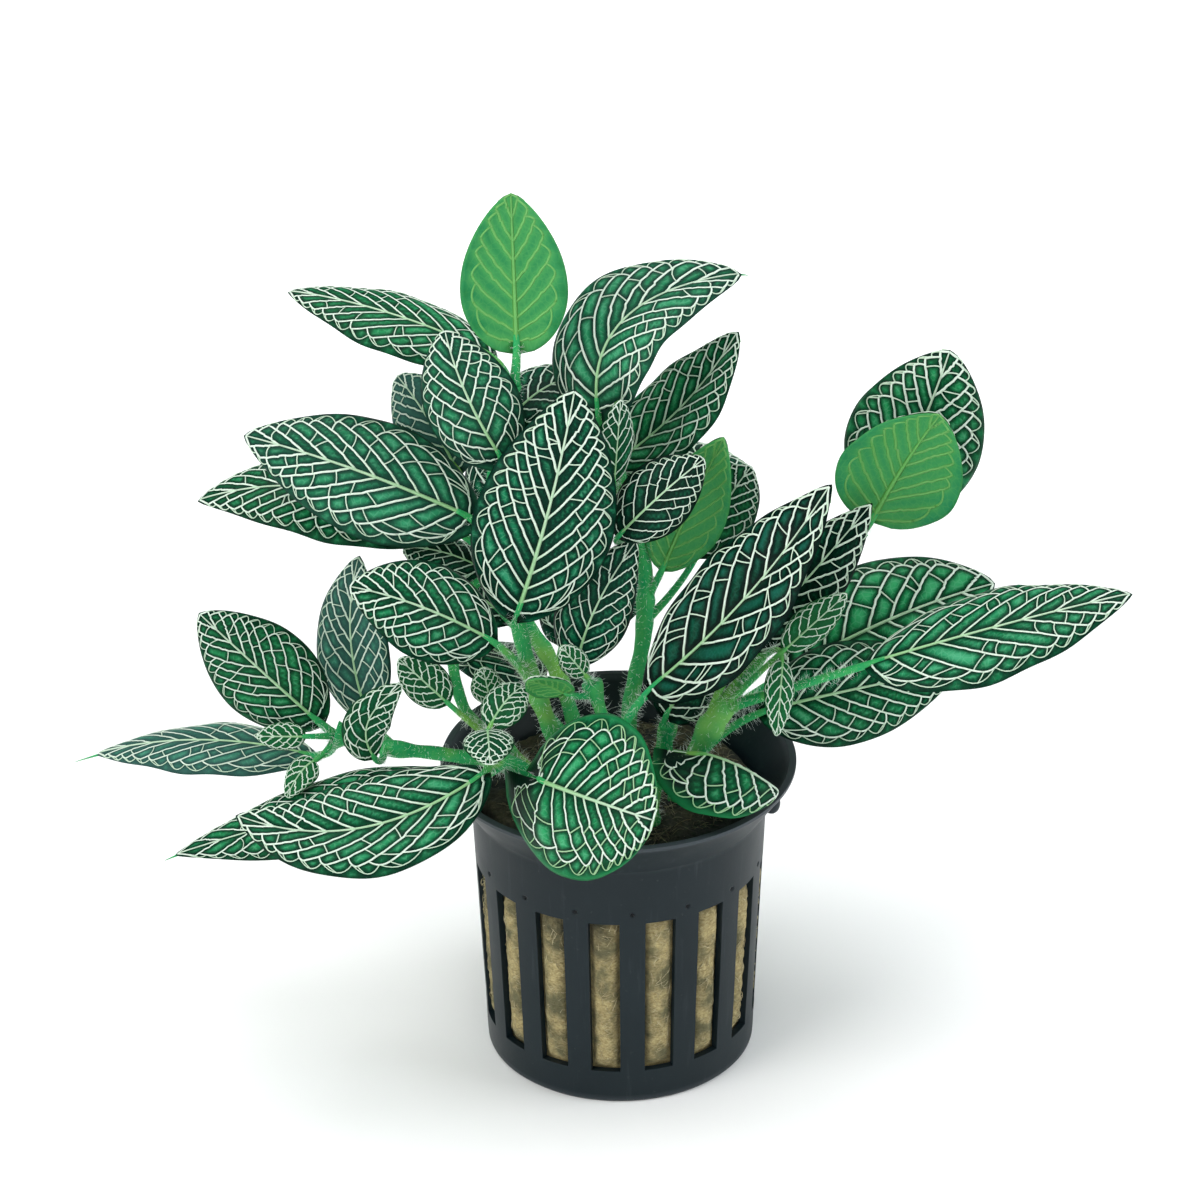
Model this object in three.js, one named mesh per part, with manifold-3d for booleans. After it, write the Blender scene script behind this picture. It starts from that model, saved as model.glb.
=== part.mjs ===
// A potted nerve plant: hairy leafy shoots with net-veined leaves, rooted in a plug of
// mineral wool that fills a small slotted net pot. Millimetres, +Z up, origin at the
// centre of the pot's underside; the plant is seen best from the -Y side.
import * as THREE from "three";
import { mergeVertices } from "three/addons/utils/BufferGeometryUtils.js";
import Module from "manifold-3d";

const wasm = await Module();
wasm.setup();

// Driving dimensions of the pot.
const potHeight = 50;
const rimRadius = 27.5;
const collarHeight = 7;
const bodyTopRadius = 22.9;
const bodyFootRadius = 21;
const wall = 1.2;
const floorThickness = 1.4;
const footRound = 0.5;
const lipHeight = 0.6;
const lipWidth = 1.1;
const potSides = 48;
const slotCount = 16;
const slotWidth = 4.6;
const slotFoot = 6;
const slotTop = 33.6;
const firstSlotAngle = -6.5; // degrees from the front, towards +X
const drainCount = 8;
const drainWidth = 2.6;
const drainInner = 8;
const drainOuter = 17;
const firstDrainAngle = 22.5;
const lugAngles = [82, 262]; // the two pegs under the rim
const lugRadius = 1.4;

// Driving dimensions of the wool plug.
const clearance = 0.35;
const woolTop = 45.5;
const woolSides = 32;
const woolShoulder = 2.5;
const woolShoulderInset = 1.2;
const holeSides = 8;
const stemFoot = 30;
const stemUpright = [stemFoot, 40, 45]; // a stem stands straight up through these heights

// Driving dimensions of stems and blades.
const stemSides = 6;
const stalkSides = 5;
const stalkRadius = 0.85;
const stalkTipRadius = 0.55;
const bladeThickness = 0.7;
const bladeRows = [0, 0.1, 0.3, 0.52, 0.76, 0.92, 1];
const bladeColumns = [-1, -0.5, 0, 0.5, 1];
const bladeEndWidth = 0.9;
const edgeDroop = 0.35; // how far a blade's edge hangs, as a share of its half width
const widestShift = 0.8; // below 1 the widest place moves from the middle towards the base
const stalkPull = 0.45; // how much of its length a stalk bends over to meet the blade
const stalkEnd = 0.06; // how far along the midrib the stalk ends inside the blade

const potCharcoal = 0x353c42;
const woolOlive = 0x6f6a48;
const shootGreen = 0x4f9a4a;

// Each leafy shoot: the route of its stem from the hole in the wool, the stem's radius at
// its foot and its tip, and its leaves. A leaf is written as
// [fork, base, tip, face, bow, width, fold, lobe, skew]: how far along the stem its stalk
// leaves, where its blade starts and ends, the way its upper face looks, how far the middle of
// its midrib is moved off the straight line, its width, the degrees that each half is folded up
// from the midrib, how far its lobes reach back past the stalk, and, where they are uneven, how
// much further one of them does.
const shoots = {
  tall_left_shoot: {
    route: [
      [-7, -5, 46],
      [-9.5, -6, 56],
      [-13, -7, 68],
      [-15.5, -6, 80],
      [-18, -3, 92],
      [-18, -1, 103],
      [-15, 0, 114],
    ],
    radius: [1.6, 0.9],
    leaves: [
      [0.58, [-15, -10, 81], [-6, -8, 117], [0.05, -0.97, 0.25], [0.5, -2, 0], 21.5, 12, 2],
      [0.42, [-19, -12, 77.5], [-39.5, -18, 90], [-0.1, -0.75, 0.65], [0, -1.5, 2], 15, 12, 1.5],
      [0.7, [-22, -2, 93], [-55.5, 2, 105], [0.15, -0.75, 0.65], [0, -1, 1.5], 19, 12, 2],
      [0.64, [-25, 6, 87], [-63.5, 8, 91], [-0.1, -0.4, 0.9], [0, 0, 4.5], 18, 10, 1],
      [0.8, [-17, -4, 104], [-25, 0, 123], [-0.1, -0.88, 0.45], [-1, -1, 0.5], 14.5, 12, 2],
      [0.95, [-18.5, 8, 115], [-49, 16, 122], [0, -0.2, 1], [0, 0, 1.5], 15, 10, 1],
      [0.72, [-24, 8, 96], [-33, 16, 108], [-0.4, -0.5, 0.75], [0, 0, 1], 12, 12, 1],
      [0.88, [-15.5, 3, 107], [-4, 10, 110], [-0.3, -0.5, 0.8], [0, 0, 2], 12, 12, 1],
      [1, [-14.5, 0, 121], [-15, 4, 143], [0, 0.97, 0.2], [0, -1, 0], 16, 8, 2],
    ],
  },
  tall_right_shoot: {
    route: [[1, 2, 46], [2, 3, 58], [4, 3, 70], [4, 3, 84], [0, 2, 98], [-2, 1, 106]],
    radius: [1.5, 0.9],
    leaves: [
      [1, [-2.5, 0, 109.5], [19, 12, 126], [-0.35, -0.5, 0.78], [-6.5, -1, 4.5], 20, 25, 3],
      [0.88, [-1, 6, 97], [18.5, 9, 118], [-0.58, -0.5, 0.64], [1.5, 0, -1], 17, 26, 1],
      [0.9, [-0.5, -4.5, 100], [0.5, -5.5, 114], [0.6, -0.75, 0.2], [0, 0, 0], 8, 12, 0.5],
      [0.75, [0.5, -6, 92], [13, -9, 106], [0, -0.85, 0.5], [0, -1, 1], 11, 14, 1],
      [0.6, [7, 2, 82], [16, -2, 106], [0.3, 0.85, 0.4], [0, 1, 0], 12, 8, 0.5],
      [0.55, [12.5, 5, 83], [20.5, 8, 96], [0.1, -0.8, 0.6], [0, 0, 1], 11, 12, 1],
    ],
  },
  middle_shoot: {
    route: [[0, -9, 46], [0, -11, 54], [-2, -11, 62], [-4, -10, 69]],
    radius: [1.4, 0.9],
    leaves: [
      [0.7, [5, -12, 69], [31.5, -14, 104], [-0.72, -0.52, 0.46], [1.2, -0.8, -1], 22, 28, 1.5],
      [1, [-6, -8, 71.5], [3, -6, 91], [-0.1, -0.95, 0.25], [-1.5, -1, 0], 11.5, 12, 1],
      [1, [-5, -13, 72], [-8.5, -15, 78], [0.2, -0.9, 0.4], [0, 0, 0], 4.5, 12, 0.3],
      [0.95, [-8, -14, 69.5], [-13.5, -18, 74], [0.2, 0.85, 0.3], [0, 0, 0.5], 7, 8, 0.5],
    ],
  },
  right_shoot: {
    route: [[9, -5, 46], [12.5, -8, 57], [21.5, -5, 70.5], [26, -2, 76], [32, 1, 83], [37, 2.5, 88]],
    radius: [1.6, 0.9],
    leaves: [
      [0.42, [19.5, -6.5, 73], [38, -5.5, 96.5], [-0.3, -0.88, 0.35], [0, -0.5, 0], 12, 12, 1],
      [1, [40, 6, 90], [49.5, 2, 118], [-0.1, -0.9, 0.3], [0.5, -1, 0], 21, 12, 2],
      [1, [38.3, -1, 91.5], [47.6, -6, 111.4], [0.1, 0.95, 0.1], [0, 0.5, 0.5], 19, 8, 0.5],
      [0.45, [27, 4, 63], [58, 8, 75.5], [-0.1, -0.75, 0.65], [0, 0, 1.5], 21, 12, 2],
      [0.5, [37.5, -16, 75], [75.5, -20, 88.5], [-0.3, -0.3, 0.9], [0, -1, 1], 19, 12, 1],
      [0.3, [22.5, -6, 61.5], [51.5, -4, 67], [0, -0.75, 0.65], [0, -1, 1], 16.5, 12, 1.5],
      [0.5, [25, -12, 75.5], [34, -14, 86], [0.1, -0.9, 0.4], [0, 0, 0], 6, 14, 0.5],
      [0.45, [24.5, -13, 74], [23.5, -20, 65], [0.3, -0.8, 0.5], [0, -1, 1], 5, 14, 0.3],
    ],
  },
  inner_right_shoot: {
    route: [[7, 2, 46], [7.5, 2, 51], [7.5, 1.5, 55]],
    radius: [1.1, 0.9],
    leaves: [[1, [7.5, 1, 57], [17.5, 6, 67], [-0.3, -0.8, 0.5], [0, 0, 1], 12.5, 12, 1]],
  },
  left_trailing_shoot: {
    route: [[-13, -4, 46], [-17, -6, 52], [-26, -9, 56], [-36, -9, 57.5], [-43, -8, 59]],
    radius: [1.4, 0.9],
    leaves: [
      [1, [-46, -8, 62], [-62.5, -10, 81.5], [-0.05, -0.9, 0.45], [0, -1, 0.5], 15, 12, 2],
      [1, [-47, -4, 53], [-81, 4, 49], [0, -0.05, 1], [0, 0, 2.5], 15, 10, 1],
      [0.85, [-37, -16, 60], [-32, -17, 73], [0.3, -0.85, 0.4], [-3, 0, 0], 8, 22, 0.5],
      [0.8, [-38, -4, 60], [-39, 4, 83.5], [-0.35, -0.75, 0.5], [-2, 0, 0], 13, 20, 1],
      [1, [-46, -14, 58], [-50, -18, 54], [-0.4, -0.8, 0.4], [0, 0, 1], 5, 12, 0.3],
      [1, [-47.5, -12.5, 61.5], [-54.5, -14, 62.5], [0, -0.9, 0.4], [0, 0, 0], 4.5, 12, 0.3],
    ],
  },
  left_front_shoot: {
    route: [[-8, -12, 46], [-11, -12, 52], [-15.5, -13, 56.5], [-20, -19, 61]],
    radius: [1.3, 0.9],
    leaves: [
      [1, [-20, -24, 61.5], [-57, -28, 57], [-0.1, -0.5, 0.86], [0, -5, -3], 18.5, 22, 0.8],
      [0.85, [-22, -19.5, 57.5], [-67, -22, 46.5], [-0.25, -0.48, 0.84], [0, 0, 1], 14, 8, 0.5],
      [0.9, [-19.5, -22, 67.5], [-19, -31, 67], [0, -0.3, 0.95], [0, 0, 1], 8, 12, 0.5],
      [0.95, [-19, -19, 67], [-14, -13, 70], [0, -0.5, 0.9], [0, 0, 1], 7, 12, 0.5],
    ],
  },
  front_shoot: {
    route: [[5, -12, 46], [3, -15, 53], [-3, -18, 57]],
    radius: [1.2, 0.9],
    leaves: [
      [1, [-11.8, -24.4, 60.5], [5, -41, 63.3], [-0.15, -0.85, 0.45], [0, -2, 1], 25.5, 8, 7, 2.8],
      [0.5, [12.6, -16, 59.6], [24, -18, 54], [0.55, -0.1, 0.8], [0, -1, 1.5], 15.5, -28, 5.5, 2.5],
    ],
  },
  inner_left_shoot: {
    route: [[-14, 3, 46], [-19, -1, 54], [-23.5, -5, 62], [-25, -3, 72], [-22, 0, 80]],
    radius: [1.1, 0.8],
    leaves: [
      [0.45, [-26, -8.5, 65], [-33, -7.5, 72], [-0.2, -0.8, 0.6], [0, 0, 0], 7, 12, 0.5],
      [0.4, [-19.5, -5, 63], [-20.5, -6, 69.5], [0.2, -0.9, 0.3], [0, 0, 0], 5, 12, 0.3],
      [1, [-20.5, 2, 82], [-32.5, 6, 83.5], [0, -0.2, 1], [0, 0, 1], 10, 12, 0.5],
    ],
  },
  back_left_shoot: {
    route: [[-6, 9, 46], [-9, 14, 56], [-17, 21, 68], [-22, 26, 77]],
    radius: [1.4, 0.9],
    leaves: [
      [1, [-25, 27, 80], [-47, 38, 84], [-0.2, 0.1, 0.97], [0, 0, 3], 18, 12, 2],
      [0.95, [-20, 29, 79], [-10, 49, 86], [-0.1, 0.1, 0.97], [0, 0, 3], 17, 12, 2],
      [0.6, [-18, 22, 63], [-38, 40, 58], [-0.3, 0.3, 0.9], [0, 0, 4], 17, 12, 2],
      [0.5, [-8, 19, 61], [4, 42, 60], [0.1, 0.3, 0.9], [0, 0, 4], 18, 12, 2],
      [0.3, [-14, 15, 54], [-26, 36, 48], [-0.1, 0.3, 0.9], [0, 0, 4], 15, 12, 1],
    ],
  },
  back_right_shoot: {
    route: [[7, 9, 46], [10, 14, 55], [15, 20, 65], [17, 23, 72]],
    radius: [1.4, 0.9],
    leaves: [
      [0.8, [20, 26, 62], [44, 40, 51], [0.4, 0.1, 0.9], [0, 0, 4], 18, 12, 2],
      [1, [16, 26, 74], [12, 48, 80], [-0.1, 0.1, 0.97], [0, 0, 3], 17, 12, 2],
      [0.4, [12, 18, 56], [26, 38, 50], [0.3, 0.3, 0.9], [0, 0, 4], 16, 12, 2],
    ],
  },
};

const point = (p) => new THREE.Vector3(p[0], p[1], p[2]);
const turned = (degrees) => THREE.MathUtils.degToRad(degrees);

// A closed three.js geometry as a solid that can be joined and cut.
function solidFrom(geometry) {
  const bare = geometry.clone();
  bare.deleteAttribute("normal");
  bare.deleteAttribute("uv");
  const merged = mergeVertices(bare, 1e-4);
  return new wasm.Manifold(
    new wasm.Mesh({
      numProp: 3,
      vertProperties: merged.attributes.position.array,
      triVerts: new Uint32Array(merged.index.array),
    }),
  );
}

// A solid back as a named mesh with its own material.
function meshFrom(solid, name, colour, roughness) {
  const { vertProperties, triVerts } = solid.getMesh();
  const geometry = new THREE.BufferGeometry();
  geometry.setAttribute("position", new THREE.BufferAttribute(vertProperties, 3));
  geometry.setIndex(new THREE.BufferAttribute(triVerts, 1));
  geometry.computeVertexNormals();
  const material = new THREE.MeshStandardMaterial({ color: colour, roughness, metalness: 0 });
  const mesh = new THREE.Mesh(geometry, material);
  mesh.name = name;
  return mesh;
}

// A lathe turned about +Z from its radius and height pairs.
function turnedAboutZ(profile, sides) {
  const points = profile.map(([r, z]) => new THREE.Vector2(r, z));
  return new THREE.LatheGeometry(points, sides).rotateX(Math.PI / 2);
}

function boxAt(size, centre, angle) {
  return new THREE.BoxGeometry(...size).translate(...centre).rotateZ(angle);
}

// The pot's section: a flat floor, a wall that widens a little, and a collar that flares
// out to a short upright lip.
function potProfile() {
  const collarFoot = potHeight - collarHeight;
  return [
    [0, 0],
    [bodyFootRadius - footRound, 0],
    [bodyFootRadius, footRound],
    [bodyTopRadius, collarFoot],
    [rimRadius - 0.4, potHeight - lipHeight - 0.4],
    [rimRadius, potHeight - lipHeight],
    [rimRadius, potHeight],
    [rimRadius - lipWidth, potHeight],
    [bodyTopRadius - wall, collarFoot + 0.5],
    [bodyFootRadius - wall, floorThickness],
    [0, floorThickness],
  ];
}

// A rounded peg on the outside of the crease below the collar. The inside of the pot is
// cut away from it, so that it ends within the wall.
function makeLug(angle) {
  const inside = bodyTopRadius - wall + 0.4;
  const lug = new THREE.SphereGeometry(lugRadius, 10, 8)
    .scale(1, 1, 1.3)
    .translate(0, -(bodyTopRadius + 0.9), potHeight - collarHeight + 0.6)
    .rotateZ(turned(angle));
  const insideProfile = [
    [0, 0],
    [inside, 0],
    [inside, potHeight],
    [0, potHeight],
  ];
  return solidFrom(lug).subtract(solidFrom(turnedAboutZ(insideProfile, potSides)));
}

// The pot, with its slots and the drain slots of its floor. A box is made on the front side,
// along -Y, and is turned from there towards +X.
function makePot() {
  let pot = solidFrom(turnedAboutZ(potProfile(), potSides));
  for (const angle of lugAngles) {
    pot = pot.add(makeLug(angle));
  }
  const slotHeight = slotTop - slotFoot;
  const slotSize = [slotWidth, 10 * wall, slotHeight];
  const slotCentre = [0, -bodyFootRadius, slotFoot + slotHeight / 2];
  for (let i = 0; i < slotCount; i++) {
    const angle = turned(firstSlotAngle + (i * 360) / slotCount);
    pot = pot.subtract(solidFrom(boxAt(slotSize, slotCentre, angle)));
  }
  const drainSize = [drainWidth, drainOuter - drainInner, 4 * floorThickness];
  const drainCentre = [0, -(drainInner + drainOuter) / 2, 0];
  for (let i = 0; i < drainCount; i++) {
    const angle = turned(firstDrainAngle + (i * 360) / drainCount);
    pot = pot.subtract(solidFrom(boxAt(drainSize, drainCentre, angle)));
  }
  return meshFrom(pot, "net_pot", potCharcoal, 0.5);
}

// The plug of wool: a tapered disc with a round shoulder, and a plain hole for each stem.
function makeWool() {
  const wallRadius = (z) => {
    const share = (z - floorThickness) / (potHeight - collarHeight - floorThickness);
    const outside = THREE.MathUtils.lerp(bodyFootRadius, bodyTopRadius, share);
    return outside - wall - clearance;
  };
  const foot = floorThickness + clearance;
  const topRadius = wallRadius(woolTop);
  const profile = [
    [0, foot],
    [wallRadius(foot), foot],
    [wallRadius(woolTop - woolShoulder), woolTop - woolShoulder],
    [topRadius - woolShoulderInset * 0.4, woolTop - woolShoulder * 0.3],
    [topRadius - woolShoulderInset, woolTop],
    [0, woolTop],
  ];
  let wool = solidFrom(turnedAboutZ(profile, woolSides));
  const holeFoot = stemFoot - clearance;
  const holeDepth = woolTop + 2 - holeFoot;
  for (const { route, radius } of Object.values(shoots)) {
    const holeRadius = radius[0] + clearance;
    const hole = new THREE.CylinderGeometry(holeRadius, holeRadius, holeDepth, holeSides)
      .rotateX(Math.PI / 2)
      .translate(route[0][0], route[0][1], holeFoot + holeDepth / 2);
    wool = wool.subtract(solidFrom(hole));
  }
  return meshFrom(wool, "wool_plug", woolOlive, 0.95);
}

// A closed round bar along a curve, its radius running from one value to another.
function barAlong(curve, fromRadius, toRadius, steps, sides) {
  const bar = new THREE.CylinderGeometry(1, 1, 1, sides, steps);
  const frames = curve.computeFrenetFrames(steps, false);
  const place = bar.attributes.position;
  for (let i = 0; i < place.count; i++) {
    const along = 0.5 - place.getY(i);
    const row = Math.round(along * steps);
    const radius = THREE.MathUtils.lerp(fromRadius, toRadius, along);
    const spot = curve.getPointAt(along);
    spot.addScaledVector(frames.normals[row], place.getX(i) * radius);
    spot.addScaledVector(frames.binormals[row], place.getZ(i) * radius);
    place.setXYZ(i, spot.x, spot.y, spot.z);
  }
  return facingOut(bar);
}

// Turns every triangle over if the closed geometry came out inside out.
function facingOut(geometry) {
  const place = geometry.attributes.position;
  const index = geometry.index.array;
  const corner = [new THREE.Vector3(), new THREE.Vector3(), new THREE.Vector3()];
  let volume = 0;
  for (let i = 0; i < index.length; i += 3) {
    corner.forEach((c, k) => c.fromBufferAttribute(place, index[i + k]));
    volume += corner[0].dot(corner[1].clone().cross(corner[2]));
  }
  if (volume < 0) {
    for (let i = 0; i < index.length; i += 3) {
      [index[i + 1], index[i + 2]] = [index[i + 2], index[i + 1]];
    }
  }
  return geometry;
}

// The midrib is a parabola from base to tip, moved by the bow in its middle.
function midribAt(base, tip, bow, u) {
  const knee = base.clone().add(tip).multiplyScalar(0.5).addScaledVector(bow, 2);
  const curve = new THREE.QuadraticBezierCurve3(base, knee, tip);
  return { spot: curve.getPoint(u), along: curve.getTangent(u) };
}

// Half the blade's width: fullest at two fifths of its length, with blunter ends on a
// rounder leaf.
function halfWidth(width, slenderness, u) {
  const sharpness = THREE.MathUtils.clamp(0.42 + 0.2 * slenderness, 0.6, 0.95);
  const full = Math.max(Math.sin(Math.PI * u ** widestShift), 0) ** sharpness;
  return (bladeEndWidth + (width - bladeEndWidth) * full) / 2;
}

// One thin arched blade: both faces share one grid, so they are split into triangles alike.
function makeBlade(base, tip, face, bow, width, fold, lobe, skew) {
  const slenderness = base.distanceTo(tip) / width;
  const positions = [];
  for (const side of [1, -1]) {
    for (const u of bladeRows) {
      const { spot, along } = midribAt(base, tip, bow, u);
      const out = face.clone().addScaledVector(along, -face.dot(along)).normalize();
      const across = along.clone().cross(out);
      const half = halfWidth(width, slenderness, u);
      for (const v of bladeColumns) {
        const spread = v * half * Math.cos(turned(fold));
        const rise = half * (Math.sin(turned(fold)) * Math.abs(v) - edgeDroop * v * v);
        const p = spot.clone().addScaledVector(across, spread);
        p.addScaledVector(out, rise + (side * bladeThickness) / 2);
        p.addScaledVector(along, -(lobe * v * v + skew * v) * (1 - u) ** 2);
        positions.push(p.x, p.y, p.z);
      }
    }
  }
  const columns = bladeColumns.length;
  const rows = bladeRows.length;
  const at = (side, row, column) => (side * rows + row) * columns + column;
  const index = [];
  const quad = (a, b, c, d) => index.push(a, b, c, a, c, d);
  for (let r = 0; r + 1 < rows; r++) {
    for (let c = 0; c + 1 < columns; c++) {
      quad(at(0, r, c), at(0, r + 1, c), at(0, r + 1, c + 1), at(0, r, c + 1));
      index.push(at(1, r, c), at(1, r + 1, c + 1), at(1, r + 1, c));
      index.push(at(1, r, c), at(1, r, c + 1), at(1, r + 1, c + 1));
    }
    quad(at(0, r, 0), at(1, r, 0), at(1, r + 1, 0), at(0, r + 1, 0));
    const c = columns - 1;
    quad(at(0, r, c), at(0, r + 1, c), at(1, r + 1, c), at(1, r, c));
  }
  for (let c = 0; c + 1 < columns; c++) {
    const r = rows - 1;
    quad(at(0, 0, c), at(0, 0, c + 1), at(1, 0, c + 1), at(1, 0, c));
    quad(at(0, r, c), at(1, r, c), at(1, r, c + 1), at(0, r, c + 1));
  }
  const geometry = new THREE.BufferGeometry();
  geometry.setAttribute("position", new THREE.Float32BufferAttribute(positions, 3));
  geometry.setIndex(index);
  return facingOut(geometry);
}

// A shoot: its stem, and for each leaf a stalk from the stem and the blade at its end.
function shootSolids({ route, radius, leaves }) {
  const foot = stemUpright.map((height) => [route[0][0], route[0][1], height]);
  const stemCurve = new THREE.CatmullRomCurve3([...foot, ...route].map(point), false, "centripetal");
  const steps = 2 * route.length + 2;
  const pieces = [barAlong(stemCurve, radius[0], radius[1], steps, stemSides)];
  for (const [fork, baseAt, tipAt, faceTo, bowBy, width, fold, lobe, skew = 0] of leaves) {
    const base = point(baseAt);
    const tip = point(tipAt);
    const face = point(faceTo).normalize();
    const bow = point(bowBy);
    const { spot, along } = midribAt(base, tip, bow, stalkEnd);
    const forkAt = stemCurve.getPointAt(fork);
    const reach = forkAt.distanceTo(base);
    const knee = base.clone().addScaledVector(along, -stalkPull * reach);
    const stalk = new THREE.QuadraticBezierCurve3(forkAt, knee, spot);
    pieces.push(barAlong(stalk, stalkRadius, stalkTipRadius, 2, stalkSides));
    pieces.push(makeBlade(base, tip, face, bow, width, fold, lobe, skew));
  }
  return pieces.map(solidFrom);
}

const plant = new THREE.Group();
plant.add(makePot());
plant.add(makeWool());
for (const [name, shoot] of Object.entries(shoots)) {
  const solid = shootSolids(shoot).reduce((whole, piece) => whole.add(piece));
  plant.add(meshFrom(solid, name, shootGreen, 0.6));
}

export default plant;
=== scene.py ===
import math
import bpy
import numpy as np
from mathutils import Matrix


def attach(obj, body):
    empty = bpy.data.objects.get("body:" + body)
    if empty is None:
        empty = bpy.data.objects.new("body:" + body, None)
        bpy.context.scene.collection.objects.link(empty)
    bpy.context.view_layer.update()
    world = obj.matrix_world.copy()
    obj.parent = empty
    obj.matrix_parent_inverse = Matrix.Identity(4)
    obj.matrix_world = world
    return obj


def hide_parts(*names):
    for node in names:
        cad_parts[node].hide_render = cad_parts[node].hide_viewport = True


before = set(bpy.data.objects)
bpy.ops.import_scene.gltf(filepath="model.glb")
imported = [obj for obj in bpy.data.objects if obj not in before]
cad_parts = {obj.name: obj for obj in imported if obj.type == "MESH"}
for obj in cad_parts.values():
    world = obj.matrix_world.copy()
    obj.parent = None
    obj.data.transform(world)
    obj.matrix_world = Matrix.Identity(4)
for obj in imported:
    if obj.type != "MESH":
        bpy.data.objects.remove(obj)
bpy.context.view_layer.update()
mm = 0.001  # sizes below are in millimetres, and a mesh is written in metres

# ---- camera, light and floor ----

cameraLook = {
    "elevation": 28.386,
    "roll": -0.563,
    "aim": (-2.605, 0.0, 77.635),
    "distance": 700.0,
    "lens": 138.5,
}
floorLook = {
    "reach": 6000.0,
    "colour": (0.97, 0.975, 0.975, 1),
    "glow": 0.75,
    "glowFrom": (160, 420),  # mm from the middle where the glow starts and is full
}
# the sky is bright at the horizon, so that the backdrop is white there too, and softer above it
worldLook = {"colour": (0.93, 0.97, 1.0, 1), "heights": (0.10, 0.18), "strengths": (1.08, 0.27)}
# each soft light: place and aim in mm, width and height in mm, watts, colour
softLights = {
    "leftWindow": ((-520, -330, 330), (0, 0, 80), (420, 520), 3.0, (1.0, 0.99, 0.97)),
    "rightWindow": ((560, -120, 300), (0, 0, 80), (360, 520), 2.1, (0.94, 0.98, 1.0)),
    "overhead": ((-60, 60, 640), (0, 0, 60), (560, 560), 3.6, (1.0, 1.0, 1.0)),
    "frontFill": ((60, -700, 330), (0, 0, 60), (500, 400), 1.3, (1.0, 1.0, 1.0)),
}


def unit(vectors):
    return vectors / np.maximum(np.linalg.norm(vectors, axis=-1, keepdims=True), 1e-9)


def newObject(name, data):
    thing = bpy.data.objects.new(name, data)
    bpy.context.scene.collection.objects.link(thing)
    return thing


def standing(place, side, up, back):
    # the matrix of an object at that place in mm whose X, Y and Z point along side, up and back
    matrix = np.eye(4)
    for column, direction in enumerate((side, up, back, np.array(place) * mm)):
        matrix[:3, column] = direction
    return matrix.T


def placeCamera():
    # the camera stands behind its aim by its distance, and is turned by elevation and roll
    look = cameraLook
    tilt, roll = math.radians(look["elevation"]), math.radians(look["roll"])
    back = np.array([0, -math.cos(tilt), math.sin(tilt)])
    right, up = np.array([1.0, 0, 0]), np.array([0, math.sin(tilt), math.cos(tilt)])
    turnedRight = right * math.cos(roll) + up * math.sin(roll)
    turnedUp = -right * math.sin(roll) + up * math.cos(roll)
    camera = newObject("camera", bpy.data.cameras.new("camera"))
    camera.data.lens = look["lens"]
    camera.data.sensor_width = 36
    camera.data.clip_end = 20
    camera.matrix_world = standing(look["aim"] + look["distance"] * back, turnedRight, turnedUp, back)
    bpy.context.scene.camera = camera


def feed(tree, node, inputs):
    # each input gets its value, or a link where that is another node's output
    for key, value in inputs.items():
        socket = node.inputs[key]
        if isinstance(value, bpy.types.NodeSocket):
            tree.links.new(value, socket)
        else:
            socket.default_value = (*value, 1)[:4] if socket.type == "RGBA" else value


def newNode(tree, kind, inputs=None, **settings):
    node = tree.nodes.new("ShaderNode" + kind)
    for key, value in settings.items():
        setattr(node, key, value)
    feed(tree, node, inputs or {})
    return node


def spanned(tree, source, low, high, toLow=0.0, toHigh=1.0):
    # a number carried from one range to another and kept inside it
    inputs = {"Value": source, "From Min": low, "From Max": high, "To Min": toLow, "To Max": toHigh}
    return newNode(tree, "MapRange", inputs).outputs["Result"]


def placeLights():
    for name, (place, target, size, watts, colour) in softLights.items():
        lamp = bpy.data.lights.new(name, "AREA")
        lamp.shape = "RECTANGLE"
        lamp.size, lamp.size_y = size[0] * mm, size[1] * mm
        lamp.energy = watts
        lamp.color = colour
        # its -Z looks from the place to the target
        back = unit(np.subtract(place, target))
        side = unit(np.cross((0, 1, 0) if abs(back[2]) > 0.9 else (0, 0, 1), back))
        newObject(name, lamp).matrix_world = standing(place, side, np.cross(back, side), back)


def makeSky():
    # heights in the sky run from 0 at the horizon to 1 straight up
    world = bpy.data.worlds.new("studio")
    world.use_nodes = True
    tree = world.node_tree
    way = newNode(tree, "TexCoord").outputs["Generated"]
    height = newNode(tree, "SeparateXYZ", {"Vector": way}).outputs["Z"]
    strength = spanned(tree, height, *worldLook["heights"], *worldLook["strengths"])
    feed(tree, tree.nodes["Background"], {"Color": worldLook["colour"], "Strength": strength})
    bpy.context.scene.world = world
    bpy.context.scene.view_settings.view_transform = "Standard"


placeCamera()
placeLights()
makeSky()
print("camera and lights placed")

# ---- meshes from arrays ----


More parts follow.
